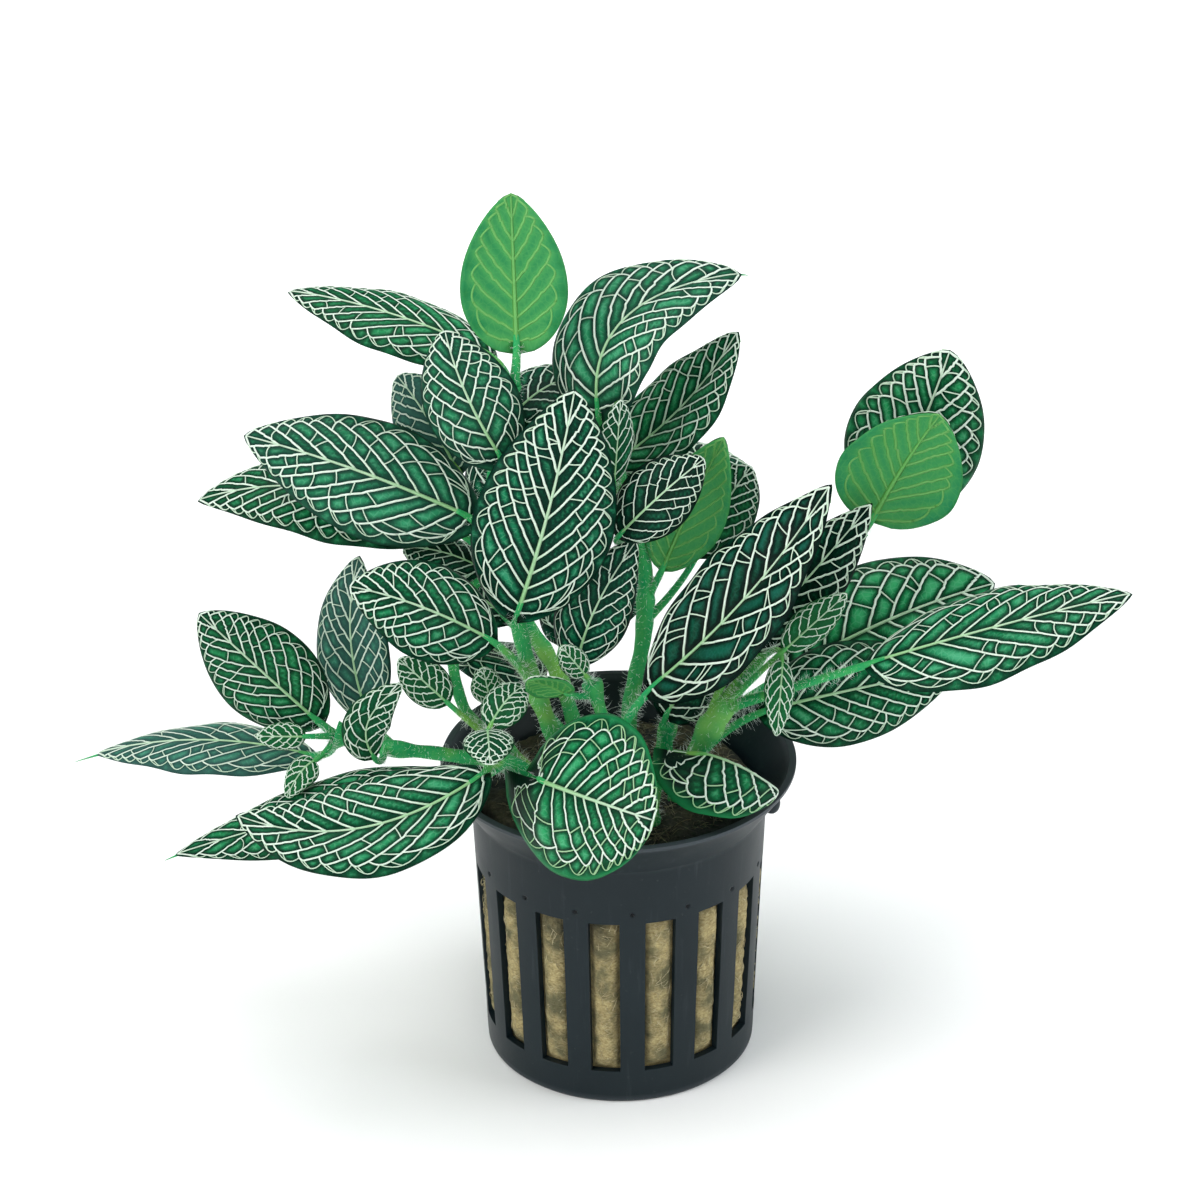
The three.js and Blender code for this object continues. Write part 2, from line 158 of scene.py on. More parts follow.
def addPiece(name, points, faceSets, materials, node=None, attributes=None):
    # points in mm; faceSets holds (array of faces, material number) pairs
    counts = np.concatenate([np.full(len(faces), faces.shape[1]) for faces, _ in faceSets])
    corners = np.concatenate([faces.ravel() for faces, _ in faceSets]).astype(np.int32)
    paints = np.concatenate([np.full(len(faces), number) for faces, number in faceSets]).astype(np.int32)
    mesh = bpy.data.meshes.new(name)
    mesh.vertices.add(len(points))
    mesh.vertices.foreach_set("co", (np.asarray(points) * mm).astype(np.float32).ravel())
    mesh.loops.add(len(corners))
    mesh.loops.foreach_set("vertex_index", corners)
    mesh.polygons.add(len(counts))
    mesh.polygons.foreach_set("loop_start", (np.cumsum(counts) - counts).astype(np.int32))
    for material in materials:
        mesh.materials.append(material)
    mesh.polygons.foreach_set("material_index", paints)
    mesh.polygons.foreach_set("use_smooth", np.full(len(counts), True))
    mesh.update(calc_edges=True)
    for key, values in (attributes or {}).items():
        values = np.asarray(values, dtype=np.float32)
        kind, field = ("FLOAT_VECTOR", "vector") if values.ndim == 2 else ("FLOAT", "value")
        mesh.attributes.new(key, kind, "POINT").data.foreach_set(field, values.ravel())
    piece = newObject(name, mesh)
    if node:
        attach(piece, "root")
        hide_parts(node)
    return piece


class Heap:
    # gathers many small closed shapes into one mesh
    def __init__(self):
        self.points, self.faces, self.values, self.count = [], [], [], 0

    def add(self, points, faceSets, **values):
        points = np.asarray(points).reshape(-1, 3)
        self.points.append(points)
        self.faces += [(faces + self.count, number) for faces, number in faceSets]
        self.values.append({key: np.broadcast_to(value, (len(points),) + np.shape(value)[1:])
                            for key, value in values.items()})
        self.count += len(points)

    def addTubes(self, points, paint=0, **values):
        # points as (tubes, rings, sides, 3): quads between neighbouring rings, and a cap on each end
        at = np.arange(points.size // 3).reshape(-1, *points.shape[-3:-1])
        onward = np.roll(at, -1, axis=2)
        quads = np.stack([at[:, :-1], onward[:, :-1], onward[:, 1:], at[:, 1:]], axis=-1).reshape(-1, 4)
        caps = np.concatenate([at[:, 0, ::-1], at[:, -1, :]])
        self.add(points, [(quads, paint), (caps, paint)], **values)

    def finish(self, name, materials, slot, node):
        values = {key: np.concatenate([part[key] for part in self.values]) for key in self.values[0]}
        grouped = {}
        for faces, number in self.faces:
            grouped.setdefault((faces.shape[1], number), []).append(faces)
        faceSets = [(np.concatenate(faces), key[1]) for key, faces in grouped.items()]
        return addPiece(name, np.concatenate(self.points), faceSets, materials, node, values)


def crossFrame(path):
    # two directions square to the path (.., rings, 3), from the axis that it runs along least
    along = unit(np.gradient(path, axis=-2))
    worst = np.abs(along).reshape(-1, 3).max(axis=0)
    reference = np.eye(3)[np.argmin(worst)]
    first = unit(np.cross(along, reference))
    return along, first, np.cross(along, first)


def shareAlong(path):
    lengths = np.concatenate([[0], np.cumsum(np.linalg.norm(np.diff(path, axis=0), axis=1))])
    return lengths / lengths[-1], lengths[-1]


def readAt(share, shares, field):
    # what is kept at these shares of a path, read at any share
    return np.stack([np.interp(share, shares, column) for column in field.T], axis=-1)


def ringRound(first, second, sides):
    # a circle of points of radius 1: first * cos + second * sin
    angle = (np.arange(sides) * 2 * np.pi / sides)[:, None]
    return first[..., None, :] * np.cos(angle) + second[..., None, :] * np.sin(angle)


def tubeAlong(path, radius, sides):
    # a ring of points round each point of the path, in its cross frame
    _, first, second = crossFrame(path)
    return path[..., None, :] + np.asarray(radius)[..., None, None] * ringRound(first, second, sides)


def curveAt(start, knee, end, t):
    # quadratic curve: (1 - t)^2 * start + 2 * t * (1 - t) * knee + t^2 * end
    return (1 - t) ** 2 * start + 2 * t * (1 - t) * knee + t**2 * end


def curvesThrough(start, knee, end, points):
    # a whole list of such curves at once, as (curves, points, 2 or 3)
    return curveAt(start[:, None], knee[:, None], end[:, None], np.linspace(0, 1, points)[None, :, None])


def softNoise(points, size, seed=0):
    # value noise: random heights on a lattice of that size, blended smoothly between corners
    place = np.asarray(points) / size + 211.5 + seed * 17.31
    cell = np.floor(place).astype(np.int64)
    part = place - cell
    part = part * part * (3 - 2 * part)
    total = 0.0
    for corner in np.ndindex(2, 2, 2):
        spot = cell + np.array(corner)
        key = (spot[..., 0] * 73856093) ^ (spot[..., 1] * 19349663) ^ (spot[..., 2] * 83492791)
        key = (key * 1103515245 + 12345) & 0x7FFFFFFF
        height = ((key >> 7) & 0xFFFF) / 65535.0
        weight = np.prod(np.where(np.array(corner) == 1, part, 1 - part), axis=-1)
        total = total + height * weight
    return total * 2 - 1


# ---- shoots: the same routes and leaves as the solids, in mm ----
# each shoot: its stem's radius at foot and tip, its leaves, and the route of its stem above the wool.
# a leaf is (fork, base, tip, face, bow, width, fold, lobe), then its own looks where it has any:
# "net" widens the white net, "deep" darkens the green, "rim" gives a bright green margin,
# "fresh" makes it livelier, "sides", "lean", "fan" and "gather" set its side veins (see sideStarts),
# "blue" paints in the cool sheen of a leaf seen along its surface, "tip" lengthens its drip tip, and
# "skew" is how much further one lobe reaches back than the other

shoots = {
    "tall_left_shoot": {"radius": (1.6, 0.9), "leaves": [
        (0.58, (-15, -10, 81), (-6, -8, 117), (0.05, -0.97, 0.25), (0.5, -2, 0), 21.5, 12, 2, {"sides": 11}),
        (0.42, (-19, -12, 77.5), (-39.5, -18, 90), (-0.1, -0.75, 0.65), (0, -1.5, 2), 15, 12, 1.5,
         {"fresh": 0.25}),
        (0.7, (-22, -2, 93), (-55.5, 2, 105), (0.15, -0.75, 0.65), (0, -1, 1.5), 19, 12, 2,
         {"fresh": 0.25, "blue": 0.14}),
        (0.64, (-25, 6, 87), (-63.5, 8, 91), (-0.1, -0.4, 0.9), (0, 0, 4.5), 18, 10, 1, {"fresh": 0.35}),
        (0.8, (-17, -4, 104), (-25, 0, 123), (-0.1, -0.88, 0.45), (-1, -1, 0.5), 14.5, 12, 2,
         {"fresh": 0.25, "blue": 0.1}),
        (0.95, (-18.5, 8, 115), (-49, 16, 122), (0, -0.2, 1), (0, 0, 1.5), 15, 10, 1, {"fresh": 0.4}),
        (0.72, (-24, 8, 96), (-33, 16, 108), (-0.4, -0.5, 0.75), (0, 0, 1), 12, 12, 1, {"blue": 0.6}),
        (0.88, (-15.5, 3, 107), (-4, 10, 110), (-0.3, -0.5, 0.8), (0, 0, 2), 12, 12, 1),
        (1, (-14.5, 0, 121), (-15, 4, 143), (0, 0.97, 0.2), (0, -1, 0), 16, 8, 2, {"fresh": 0.9}),
    ], "route": [(-7, -5, 46), (-9.5, -6, 56), (-13, -7, 68), (-15.5, -6, 80), (-18, -3, 92),
                (-18, -1, 103), (-15, 0, 114)]},
    "tall_right_shoot": {"radius": (1.5, 0.9), "leaves": [
        (1, (-2.5, 0, 109.5), (19, 12, 126), (-0.35, -0.5, 0.78), (-6.5, -1, 4.5), 20, 25, 3,
         {"tip": 1.5, "fresh": 0.3, "blue": 0.12}),
        (0.88, (-1, 6, 97), (18.5, 9, 118), (-0.58, -0.5, 0.64), (1.5, 0, -1), 17, 26, 1, {"fresh": 0.35}),
        (0.9, (-0.5, -4.5, 100), (0.5, -5.5, 114), (0.6, -0.75, 0.2), (0, 0, 0), 8, 12, 0.5),
        (0.75, (0.5, -6, 92), (13, -9, 106), (0, -0.85, 0.5), (0, -1, 1), 11, 14, 1,
         {"net": 0.8, "deep": 0.6}),
        (0.6, (7, 2, 82), (16, -2, 106), (0.3, 0.85, 0.4), (0, 1, 0), 12, 8, 0.5, {"fresh": 0.3}),
        (0.55, (12.5, 5, 83), (20.5, 8, 96), (0.1, -0.8, 0.6), (0, 0, 1), 11, 12, 1, {"fresh": 0.5}),
    ], "route": [(1, 2, 46), (2, 3, 58), (4, 3, 70), (4, 3, 84), (0, 2, 98), (-2, 1, 106)]},
    "middle_shoot": {"radius": (1.4, 0.9), "leaves": [
        (0.7, (5, -12, 69), (31.5, -14, 104), (-0.72, -0.52, 0.46), (1.2, -0.8, -1), 22, 28, 1.5,
         {"net": 1.1, "deep": 1.0, "sides": 9, "lean": 28}),
        (1, (-6, -8, 71.5), (3, -6, 91), (-0.1, -0.95, 0.25), (-1.5, -1, 0), 11.5, 12, 1, {"net": 0.85}),
        (1, (-5, -13, 72), (-8.5, -15, 78), (0.2, -0.9, 0.4), (0, 0, 0), 4.5, 12, 0.3),
        (0.95, (-8, -14, 69.5), (-13.5, -18, 74), (0.2, 0.85, 0.3), (0, 0, 0.5), 7, 8, 0.5),
    ], "route": [(0, -9, 46), (0, -11, 54), (-2, -11, 62), (-4, -10, 69)]},
    "right_shoot": {"radius": (1.6, 0.9), "leaves": [
        (0.42, (19.5, -6.5, 73), (38, -5.5, 96.5), (-0.3, -0.88, 0.35), (0, -0.5, 0), 12, 12, 1,
         {"net": 1.25, "deep": 0.7}),
        (1, (40, 6, 90), (49.5, 2, 118), (-0.1, -0.9, 0.3), (0.5, -1, 0), 21, 12, 2,
         {"net": 1.1, "fresh": 0.45}),
        (1, (38.3, -1, 91.5), (47.6, -6, 111.4), (0.1, 0.95, 0.1), (0, 0.5, 0.5), 19, 8, 0.5, {"fresh": 0.3}),
        (0.45, (27, 4, 63), (58, 8, 75.5), (-0.1, -0.75, 0.65), (0, 0, 1.5), 21, 12, 2,
         {"net": 1.1, "sides": 9, "lean": 42, "fresh": 0.45}),
        (0.5, (37.5, -16, 75), (75.5, -20, 88.5), (-0.3, -0.3, 0.9), (0, -1, 1), 19, 12, 1,
         {"sides": 9, "fresh": 0.2}),
        (0.3, (22.5, -6, 61.5), (51.5, -4, 67), (0, -0.75, 0.65), (0, -1, 1), 16.5, 12, 1.5, {"fresh": 0.3}),
        (0.5, (25, -12, 75.5), (34, -14, 86), (0.1, -0.9, 0.4), (0, 0, 0), 6, 14, 0.5),
        (0.45, (24.5, -13, 74), (23.5, -20, 65), (0.3, -0.8, 0.5), (0, -1, 1), 5, 14, 0.3),
    ], "route": [(9, -5, 46), (12.5, -8, 57), (21.5, -5, 70.5), (26, -2, 76), (32, 1, 83), (37, 2.5, 88)]},
    "inner_right_shoot": {"radius": (1.1, 0.9), "leaves": [
        (1, (7.5, 1, 57), (17.5, 6, 67), (-0.3, -0.8, 0.5), (0, 0, 1), 12.5, 12, 1, {"deep": 0.5}),
    ], "route": [(7, 2, 46), (7.5, 2, 51), (7.5, 1.5, 55)]},
    "left_trailing_shoot": {"radius": (1.4, 0.9), "leaves": [
        (1, (-46, -8, 62), (-62.5, -10, 81.5), (-0.05, -0.9, 0.45), (0, -1, 0.5), 15, 12, 2,
         {"net": 0.85, "sides": 10, "fresh": 0.5}),
        (1, (-47, -4, 53), (-81, 4, 49), (0, -0.05, 1), (0, 0, 2.5), 15, 10, 1, {"blue": 0.5, "tip": 4}),
        (0.85, (-37, -16, 60), (-32, -17, 73), (0.3, -0.85, 0.4), (-3, 0, 0), 8, 22, 0.5),
        (0.8, (-38, -4, 60), (-39, 4, 83.5), (-0.35, -0.75, 0.5), (-2, 0, 0), 13, 20, 1, {"blue": 0.45}),
        (1, (-46, -14, 58), (-50, -18, 54), (-0.4, -0.8, 0.4), (0, 0, 1), 5, 12, 0.3),
        (1, (-47.5, -12.5, 61.5), (-54.5, -14, 62.5), (0, -0.9, 0.4), (0, 0, 0), 4.5, 12, 0.3),
    ], "route": [(-13, -4, 46), (-17, -6, 52), (-26, -9, 56), (-36, -9, 57.5), (-43, -8, 59)]},
    "left_front_shoot": {"radius": (1.3, 0.9), "leaves": [
        (1, (-20, -24, 61.5), (-57, -28, 57), (-0.1, -0.5, 0.86), (0, -5, -3), 18.5, 22, 0.8,
         {"fresh": 0.25}),
        (0.85, (-22, -19.5, 57.5), (-67, -22, 46.5), (-0.25, -0.48, 0.84), (0, 0, 1), 14, 8, 0.5,
         {"tip": 2, "net": 0.85, "fresh": 0.35}),
        (0.9, (-19.5, -22, 67.5), (-19, -31, 67), (0, -0.3, 0.95), (0, 0, 1), 8, 12, 0.5),
        (0.95, (-19, -19, 67), (-14, -13, 70), (0, -0.5, 0.9), (0, 0, 1), 7, 12, 0.5),
    ], "route": [(-8, -12, 46), (-11, -12, 52), (-15.5, -13, 56.5), (-20, -19, 61)]},
    "front_shoot": {"radius": (1.2, 0.9), "leaves": [
        (1, (-11.8, -24.4, 60.5), (5, -41, 63.3), (-0.15, -0.85, 0.45), (0, -2, 1), 25.5, 8, 7,
         {"rim": 1, "skew": 2.8, "sides": 10, "fan": 48, "fresh": 0.35}),
        (0.5, (12.6, -16, 59.6), (24, -18, 54), (0.55, -0.1, 0.8), (0, -1, 1.5), 15.5, -28, 5.5,
         {"rim": 1, "net": 1.2, "skew": 2.5, "sides": 8, "fan": 56, "gather": 2.2, "fresh": 0.35}),
    ], "route": [(5, -12, 46), (3, -15, 53), (-3, -18, 57)]},
    "inner_left_shoot": {"radius": (1.1, 0.8), "leaves": [
        (0.45, (-26, -8.5, 65), (-33, -7.5, 72), (-0.2, -0.8, 0.6), (0, 0, 0), 7, 12, 0.5),
        (0.4, (-19.5, -5, 63), (-20.5, -6, 69.5), (0.2, -0.9, 0.3), (0, 0, 0), 5, 12, 0.3),
        (1, (-20.5, 2, 82), (-32.5, 6, 83.5), (0, -0.2, 1), (0, 0, 1), 10, 12, 0.5),
    ], "route": [(-14, 3, 46), (-19, -1, 54), (-23.5, -5, 62), (-25, -3, 72), (-22, 0, 80)]},
    "back_left_shoot": {"radius": (1.4, 0.9), "leaves": [
        (1, (-25, 27, 80), (-47, 38, 84), (-0.2, 0.1, 0.97), (0, 0, 3), 18, 12, 2),
        (0.95, (-20, 29, 79), (-10, 49, 86), (-0.1, 0.1, 0.97), (0, 0, 3), 17, 12, 2),
        (0.6, (-18, 22, 63), (-38, 40, 58), (-0.3, 0.3, 0.9), (0, 0, 4), 17, 12, 2),
        (0.5, (-8, 19, 61), (4, 42, 60), (0.1, 0.3, 0.9), (0, 0, 4), 18, 12, 2),
        (0.3, (-14, 15, 54), (-26, 36, 48), (-0.1, 0.3, 0.9), (0, 0, 4), 15, 12, 1),
    ], "route": [(-6, 9, 46), (-9, 14, 56), (-17, 21, 68), (-22, 26, 77)]},
    "back_right_shoot": {"radius": (1.4, 0.9), "leaves": [
        (0.8, (20, 26, 62), (44, 40, 51), (0.4, 0.1, 0.9), (0, 0, 4), 18, 12, 2),
        (1, (16, 26, 74), (12, 48, 80), (-0.1, 0.1, 0.97), (0, 0, 3), 17, 12, 2),
        (0.4, (12, 18, 56), (26, 38, 50), (0.3, 0.3, 0.9), (0, 0, 4), 16, 12, 2),
    ], "route": [(7, 9, 46), (10, 14, 55), (15, 20, 65), (17, 23, 72)]},
}

# ---- materials ----


class Paint:
    # a node material with short ways to its usual nodes; its colour is laid on in layers
    def __init__(self, name, roughness, specular=0.5):
        self.material = bpy.data.materials.new(name)
        self.material.use_nodes = True
        self.tree = self.material.node_tree
        self.shader = self.tree.nodes["Principled BSDF"]
        feed(self.tree, self.shader, {"Roughness": roughness, "Specular IOR Level": specular})
        self.place = self.node("TexCoord").outputs["Object"]
        self.colour = self.dents = None

    def node(self, kind, inputs=None, **settings):
        return newNode(self.tree, kind, inputs, **settings)

    def span(self, *values):
        return spanned(self.tree, *values)

    def read(self, name, output="Fac"):
        # a number or a vector kept at each point of the mesh
        return self.node("Attribute", attribute_name=name).outputs[output]

    def noise(self, size, detail=3.0, rough=0.5, scale=None):
        # cloudy noise with features of about that size in mm, or more or less along each axis
        place = self.place
        if scale:
            place = self.node("Mapping", {"Vector": place, "Scale": scale}).outputs["Vector"]
        inputs = {"Vector": place, "Scale": 1 / (size * mm), "Detail": detail, "Roughness": rough}
        return self.node("TexNoise", inputs).outputs["Fac"]

    def cells(self, size):
        # how far it is to the edge of the cells of that size in mm, on the blade spread flat
        inputs = {"Vector": self.read("flat", "Vector"), "Scale": 1 / size}
        return self.node("TexVoronoi", inputs, feature="DISTANCE_TO_EDGE").outputs["Distance"]

    def ramp(self, source, *stops):
        node = self.node("ValToRGB", {"Fac": source})
        elements = node.color_ramp.elements
        while len(elements) < len(stops):
            elements.new(0.5)
        for element, (place, colour) in zip(elements, stops):
            element.position = place
            element.color = (*colour, 1)[:4]
        return node.outputs["Color"]

    def maths(self, how, first, second):
        return self.node("Math", {0: first, 1: second}, operation=how).outputs["Value"]

    def lay(self, share, colour, how="MIX"):
        # a colour over what is there, by a share from 0 to 1
        inputs = {0: share, 6: self.colour, 7: colour}
        self.colour = self.node("Mix", inputs, data_type="RGBA", blend_type=how).outputs[2]

    def laySpan(self, source, low, high, share, colour):
        # a colour over what is there where the source is high, up to that share
        self.lay(self.span(source, low, high, 0, share), colour)

    def layWhere(self, look, *names):
        # colours over what is there, each by the share of its own name that the mesh keeps
        for name in names:
            self.lay(self.read(name), look[name])

    def dent(self, height, strength, distance):
        # a bump in mm, laid on the bumps made before it
        inputs = {"Height": height, "Strength": strength, "Distance": distance * mm}
        if self.dents:
            inputs["Normal"] = self.dents
        self.dents = self.node("Bump", inputs).outputs["Normal"]

    def done(self, roughness=None):
        inputs = {"Base Color": self.colour, "Roughness": roughness, "Normal": self.dents}
        feed(self.tree, self.shader, {key: source for key, source in inputs.items() if source})
        return self.material


# from beside through inner and cell to centre, the green runs from painted shade in the grooves by the veins
# to the palest middle of a cell
leafColours = {
    "beside": (0.0006, 0.010, 0.006),  # painted shade: the near-black green in the grooves along the veins
    "inner": (0.0010, 0.032, 0.017),
    "cell": (0.0030, 0.130, 0.052),
    "centre": (0.026, 0.250, 0.120),
    "patch": (0.075, 0.310, 0.195),
    "young": (0.030, 0.330, 0.075),
    "netlet": (0.130, 0.400, 0.230),
    # a painted cool sheen, laid on leaves seen along their surface
    "blue": (0.110, 0.290, 0.260),
    "rim": (0.010, 0.170, 0.052),
    "deep": (0.12, 0.28, 0.34),  # what a dark leaf's colour is multiplied by
}
underColours = {
    "beside": (0.048, 0.238, 0.058),
    "inner": (0.022, 0.200, 0.068),
    "centre": (0.010, 0.176, 0.078),
    "patch": (0.035, 0.225, 0.060),
    "netlet": (0.08, 0.30, 0.08),
    "young": (0.003, 0.115, 0.022),
}
stemColours = {
    "foot": (0.040, 0.270, 0.070),
    "middle": (0.012, 0.270, 0.085),
    "end": (0.008, 0.260, 0.085),
    "streak": (0.060, 0.340, 0.085),
    "yellow": (0.240, 0.420, 0.065),
    "pore": (0.22, 0.44, 0.18),
}
potColours = {
    "dark": (0.0030, 0.0085, 0.0115),
    "light": (0.0060, 0.0130, 0.0165),
    "scuff": (0.035, 0.043, 0.050),
    "dust": (0.06, 0.066, 0.066),
    "worn": (0.042, 0.052, 0.060),
    # painted shade in the mould-pin pits
    "pit": (0.004, 0.005, 0.006),
}
woolColours = {
    "brown": (0.220, 0.165, 0.065),
    "straw": (0.460, 0.370, 0.165),
    "pale": (0.660, 0.570, 0.310),
    "clump": (0.085, 0.088, 0.042),
    # damp and painted shade: the dark felt towards the top and inside the pot
    "damp": ((0.0012, 0.0030, 0.0026), (0.006, 0.010, 0.007), (0.028, 0.031, 0.019)),
    "fibre": ((0.30, 0.24, 0.11), (0.62, 0.55, 0.34)),
    "dampFibre": ((0.007, 0.011, 0.008), (0.046, 0.052, 0.034)),
}


def leafUpperMaterial():
    paint, look = Paint("leafUpper", 0.46, 0.05), leafColours
    clouds, speckle = paint.noise(5.0, 4, 0.6), paint.noise(0.45, 2, 0.7)
    # the cell share paints the shade: near-black in the grooves beside the veins, darker towards the midrib,
    # palest in the middle of a cell
    cell = paint.read("cell")
    depth = paint.maths("ADD", cell, paint.span(speckle, 0.3, 0.7, -0.13, 0.13))
    paint.colour = paint.ramp(depth, (0.0, look["beside"]), (0.25, look["inner"]), (0.6, look["cell"]),
                              (1.0, look["centre"]))
    patch = paint.maths("MULTIPLY", paint.span(clouds, 0.4, 0.7), paint.span(cell, 0.3, 0.9, 0, 0.6))
    paint.lay(patch, look["patch"])
    paint.layWhere(look, "young")
    # the finest veinlets: pale lines between cells of about a millimetre
    netlet = paint.cells(0.95)
    lines = paint.maths("MULTIPLY", paint.span(netlet, 0.10, 0.02), paint.span(cell, 0.25, 0.6, 0, 0.26))
    paint.lay(lines, look["netlet"])
    # a painted cool sheen where a leaf has one, then its bright green margin
    paint.layWhere(look, "blue", "rim")
    paint.lay(paint.read("deep"), look["deep"], "MULTIPLY")
    paint.dent(netlet, 0.25, 0.05)
    paint.dent(speckle, 0.35, 0.05)
    return paint.done(paint.span(clouds, 0.3, 0.7, 0.34, 0.50))


def leafUnderMaterial():
    paint, look = Paint("leafUnder", 0.55, 0.12), underColours
    clouds, grain = paint.noise(4.0, 4, 0.6), paint.noise(0.35, 2, 0.6)
    cell = paint.read("cell")
    paint.colour = paint.ramp(cell, (0.0, look["beside"]), (0.35, look["inner"]), (1.0, look["centre"]))
    paint.laySpan(clouds, 0.35, 0.7, 0.4, look["patch"])
    paint.laySpan(paint.cells(1.1), 0.09, 0.0, 0.3, look["netlet"])
    paint.layWhere(look, "young")
    paint.dent(grain, 0.3, 0.06)
    return paint.done(paint.span(grain, 0.3, 0.7, 0.42, 0.58))


def veinMaterial(name, near, far):
    # "white" runs from 0 where a vein is still green like the stalk to 1 where it is bleached
    paint = Paint(name, 0.45)
    wax = paint.noise(0.8, 3, 0.6)
    paint.colour = near
    paint.lay(paint.read("white"), far)
    paint.laySpan(wax, 0.35, 0.75, 0.22, tuple(0.72 * part for part in near))
    paint.dent(wax, 0.3, 0.05)
    return paint.done()


def stemMaterial():
    paint, look = Paint("stemGreen", 0.52, 0.12), stemColours
    streaks = paint.noise(1.4, 3, 0.6, (1, 1, 0.25))
    pores = paint.noise(0.3, 2, 0.6)
    young = paint.read("young")
    paint.colour = paint.ramp(young, (0.0, look["foot"]), (0.5, look["middle"]), (1.0, look["end"]))
    paint.laySpan(streaks, 0.35, 0.7, 0.6, look["streak"])
    paint.laySpan(paint.noise(11.0), 0.5, 0.66, 0.6, look["yellow"])
    paint.laySpan(pores, 0.55, 0.75, 0.35, look["pore"])
    paint.dent(streaks, 0.4, 0.12)
    paint.dent(pores, 0.4, 0.05)
    return paint.done(paint.span(streaks, 0.3, 0.7, 0.4, 0.58))


def hairMaterial():
    paint = Paint("stemHair", 0.55)
    paint.colour = paint.ramp(paint.noise(3.0), (0.3, (0.74, 0.84, 0.76)), (0.7, (0.90, 0.95, 0.93)))
    return paint.done()


def potMaterial():
    # charcoal plastic: cloudy tone, fine moulded grain, faint upright scuffs, paler worn edges and painted
    # shade in the pits
    paint, look = Paint("potPlastic", 0.40, 0.20), potColours
    tone, dust = paint.noise(14.0, 4, 0.55), paint.noise(0.9, 4, 0.7)
    scuffs = paint.noise(1.2, 3, 0.6, (1, 1, 0.06))
    paint.colour = paint.ramp(tone, (0.3, look["dark"]), (0.7, look["light"]))
    paint.laySpan(scuffs, 0.6, 0.78, 0.35, look["scuff"])
    paint.laySpan(dust, 0.64, 0.78, 0.35, look["dust"])
    # paler worn edges, and painted shade in the pits
    paint.layWhere(look, "worn", "pit")
    paint.dent(paint.noise(0.35, 3, 0.65), 0.25, 0.05)
    paint.dent(scuffs, 0.12, 0.05)
    return paint.done(paint.span(tone, 0.3, 0.7, 0.36, 0.50))


def woolMaterial():
    # straw coloured felt, darker towards the top: browner and greener with algae, and painted shade
    paint, look = Paint("mineralWool", 0.95), woolColours
    felt = paint.noise(0.55, 4, 0.75, (1, 1, 1.8))
    threads = paint.noise(0.22, 3, 0.7, (0.35, 0.35, 2.2))
    paint.colour = paint.ramp(felt, (0.3, look["brown"]), (0.5, look["straw"]), (0.72, look["pale"]))
    paint.laySpan(paint.noise(4.2, 4, 0.6), 0.40, 0.62, 0.85, look["clump"])
    # darker where the felt is damp and where shade is painted in
    paint.lay(paint.read("damp"), paint.ramp(felt, *zip((0.3, 0.55, 0.75), look["damp"])))
    paint.dent(felt, 0.9, 0.5)
    paint.dent(threads, 0.7, 0.2)
    return paint.done()


def fibreMaterial():
    paint = Paint("woolFibre", 0.85)
    tone = paint.noise(1.5)
    dry, dampAndShaded = (zip((0.35, 0.65), woolColours[key]) for key in ("fibre", "dampFibre"))
    paint.colour = paint.ramp(tone, *dry)
    # darker where the threads are damp and where shade is painted in
    paint.lay(paint.read("damp"), paint.ramp(tone, *dampAndShaded))
    return paint.done()


def floorMaterial():
    # the floor far behind, where the lamps fade, glows a little so that the backdrop stays white
    paint = Paint("paleFloor", 0.9)
    paint.colour = paint.ramp(paint.noise(60.0), (0.3, floorLook["colour"]), (0.7, (0.985, 0.985, 0.985)))
    away = paint.node("VectorMath", {0: paint.place}, operation="LENGTH").outputs["Value"]
    near, far = (value * mm for value in floorLook["glowFrom"])
    glow = paint.span(away, near, far, 0, floorLook["glow"])
    feed(paint.tree, paint.shader, {"Emission Color": (1, 1, 1), "Emission Strength": glow})
    return paint.done()


leafUpper = leafUpperMaterial()
leafUnder = leafUnderMaterial()
veinWhite = veinMaterial("veinWhite", (0.130, 0.380, 0.095), (0.590, 0.685, 0.600))
veinUnder = veinMaterial("veinUnder", (0.080, 0.300, 0.055), (0.085, 0.295, 0.062))
stemGreen = stemMaterial()
stemHair = hairMaterial()
potPlastic = potMaterial()
mineralWool = woolMaterial()
woolFibre = fibreMaterial()
paleFloor = floorMaterial()
print("materials made")

# ---- blades ----

bladeLook = {
    "thickness": 0.62,  # at the middle; both faces meet at the margin
    "endWidth": 0.9,
    "edgeDroop": 0.35,
    "widestShift": 0.8,
    "quilt": 0.30,  # how far the green swells between the veins
    "quiltReach": 0.85,
    "quiltBelow": 0.75,  # and how much of that the underside shows
    "ripple": 0.30,  # how far the margin waves up and down
    "gridStep": 0.55,
    "cellReach": 1.0,  # how far from a vein the green is at its palest
    "valleyReach": 2.0,  # how far from a side vein the underside is at its deepest
}


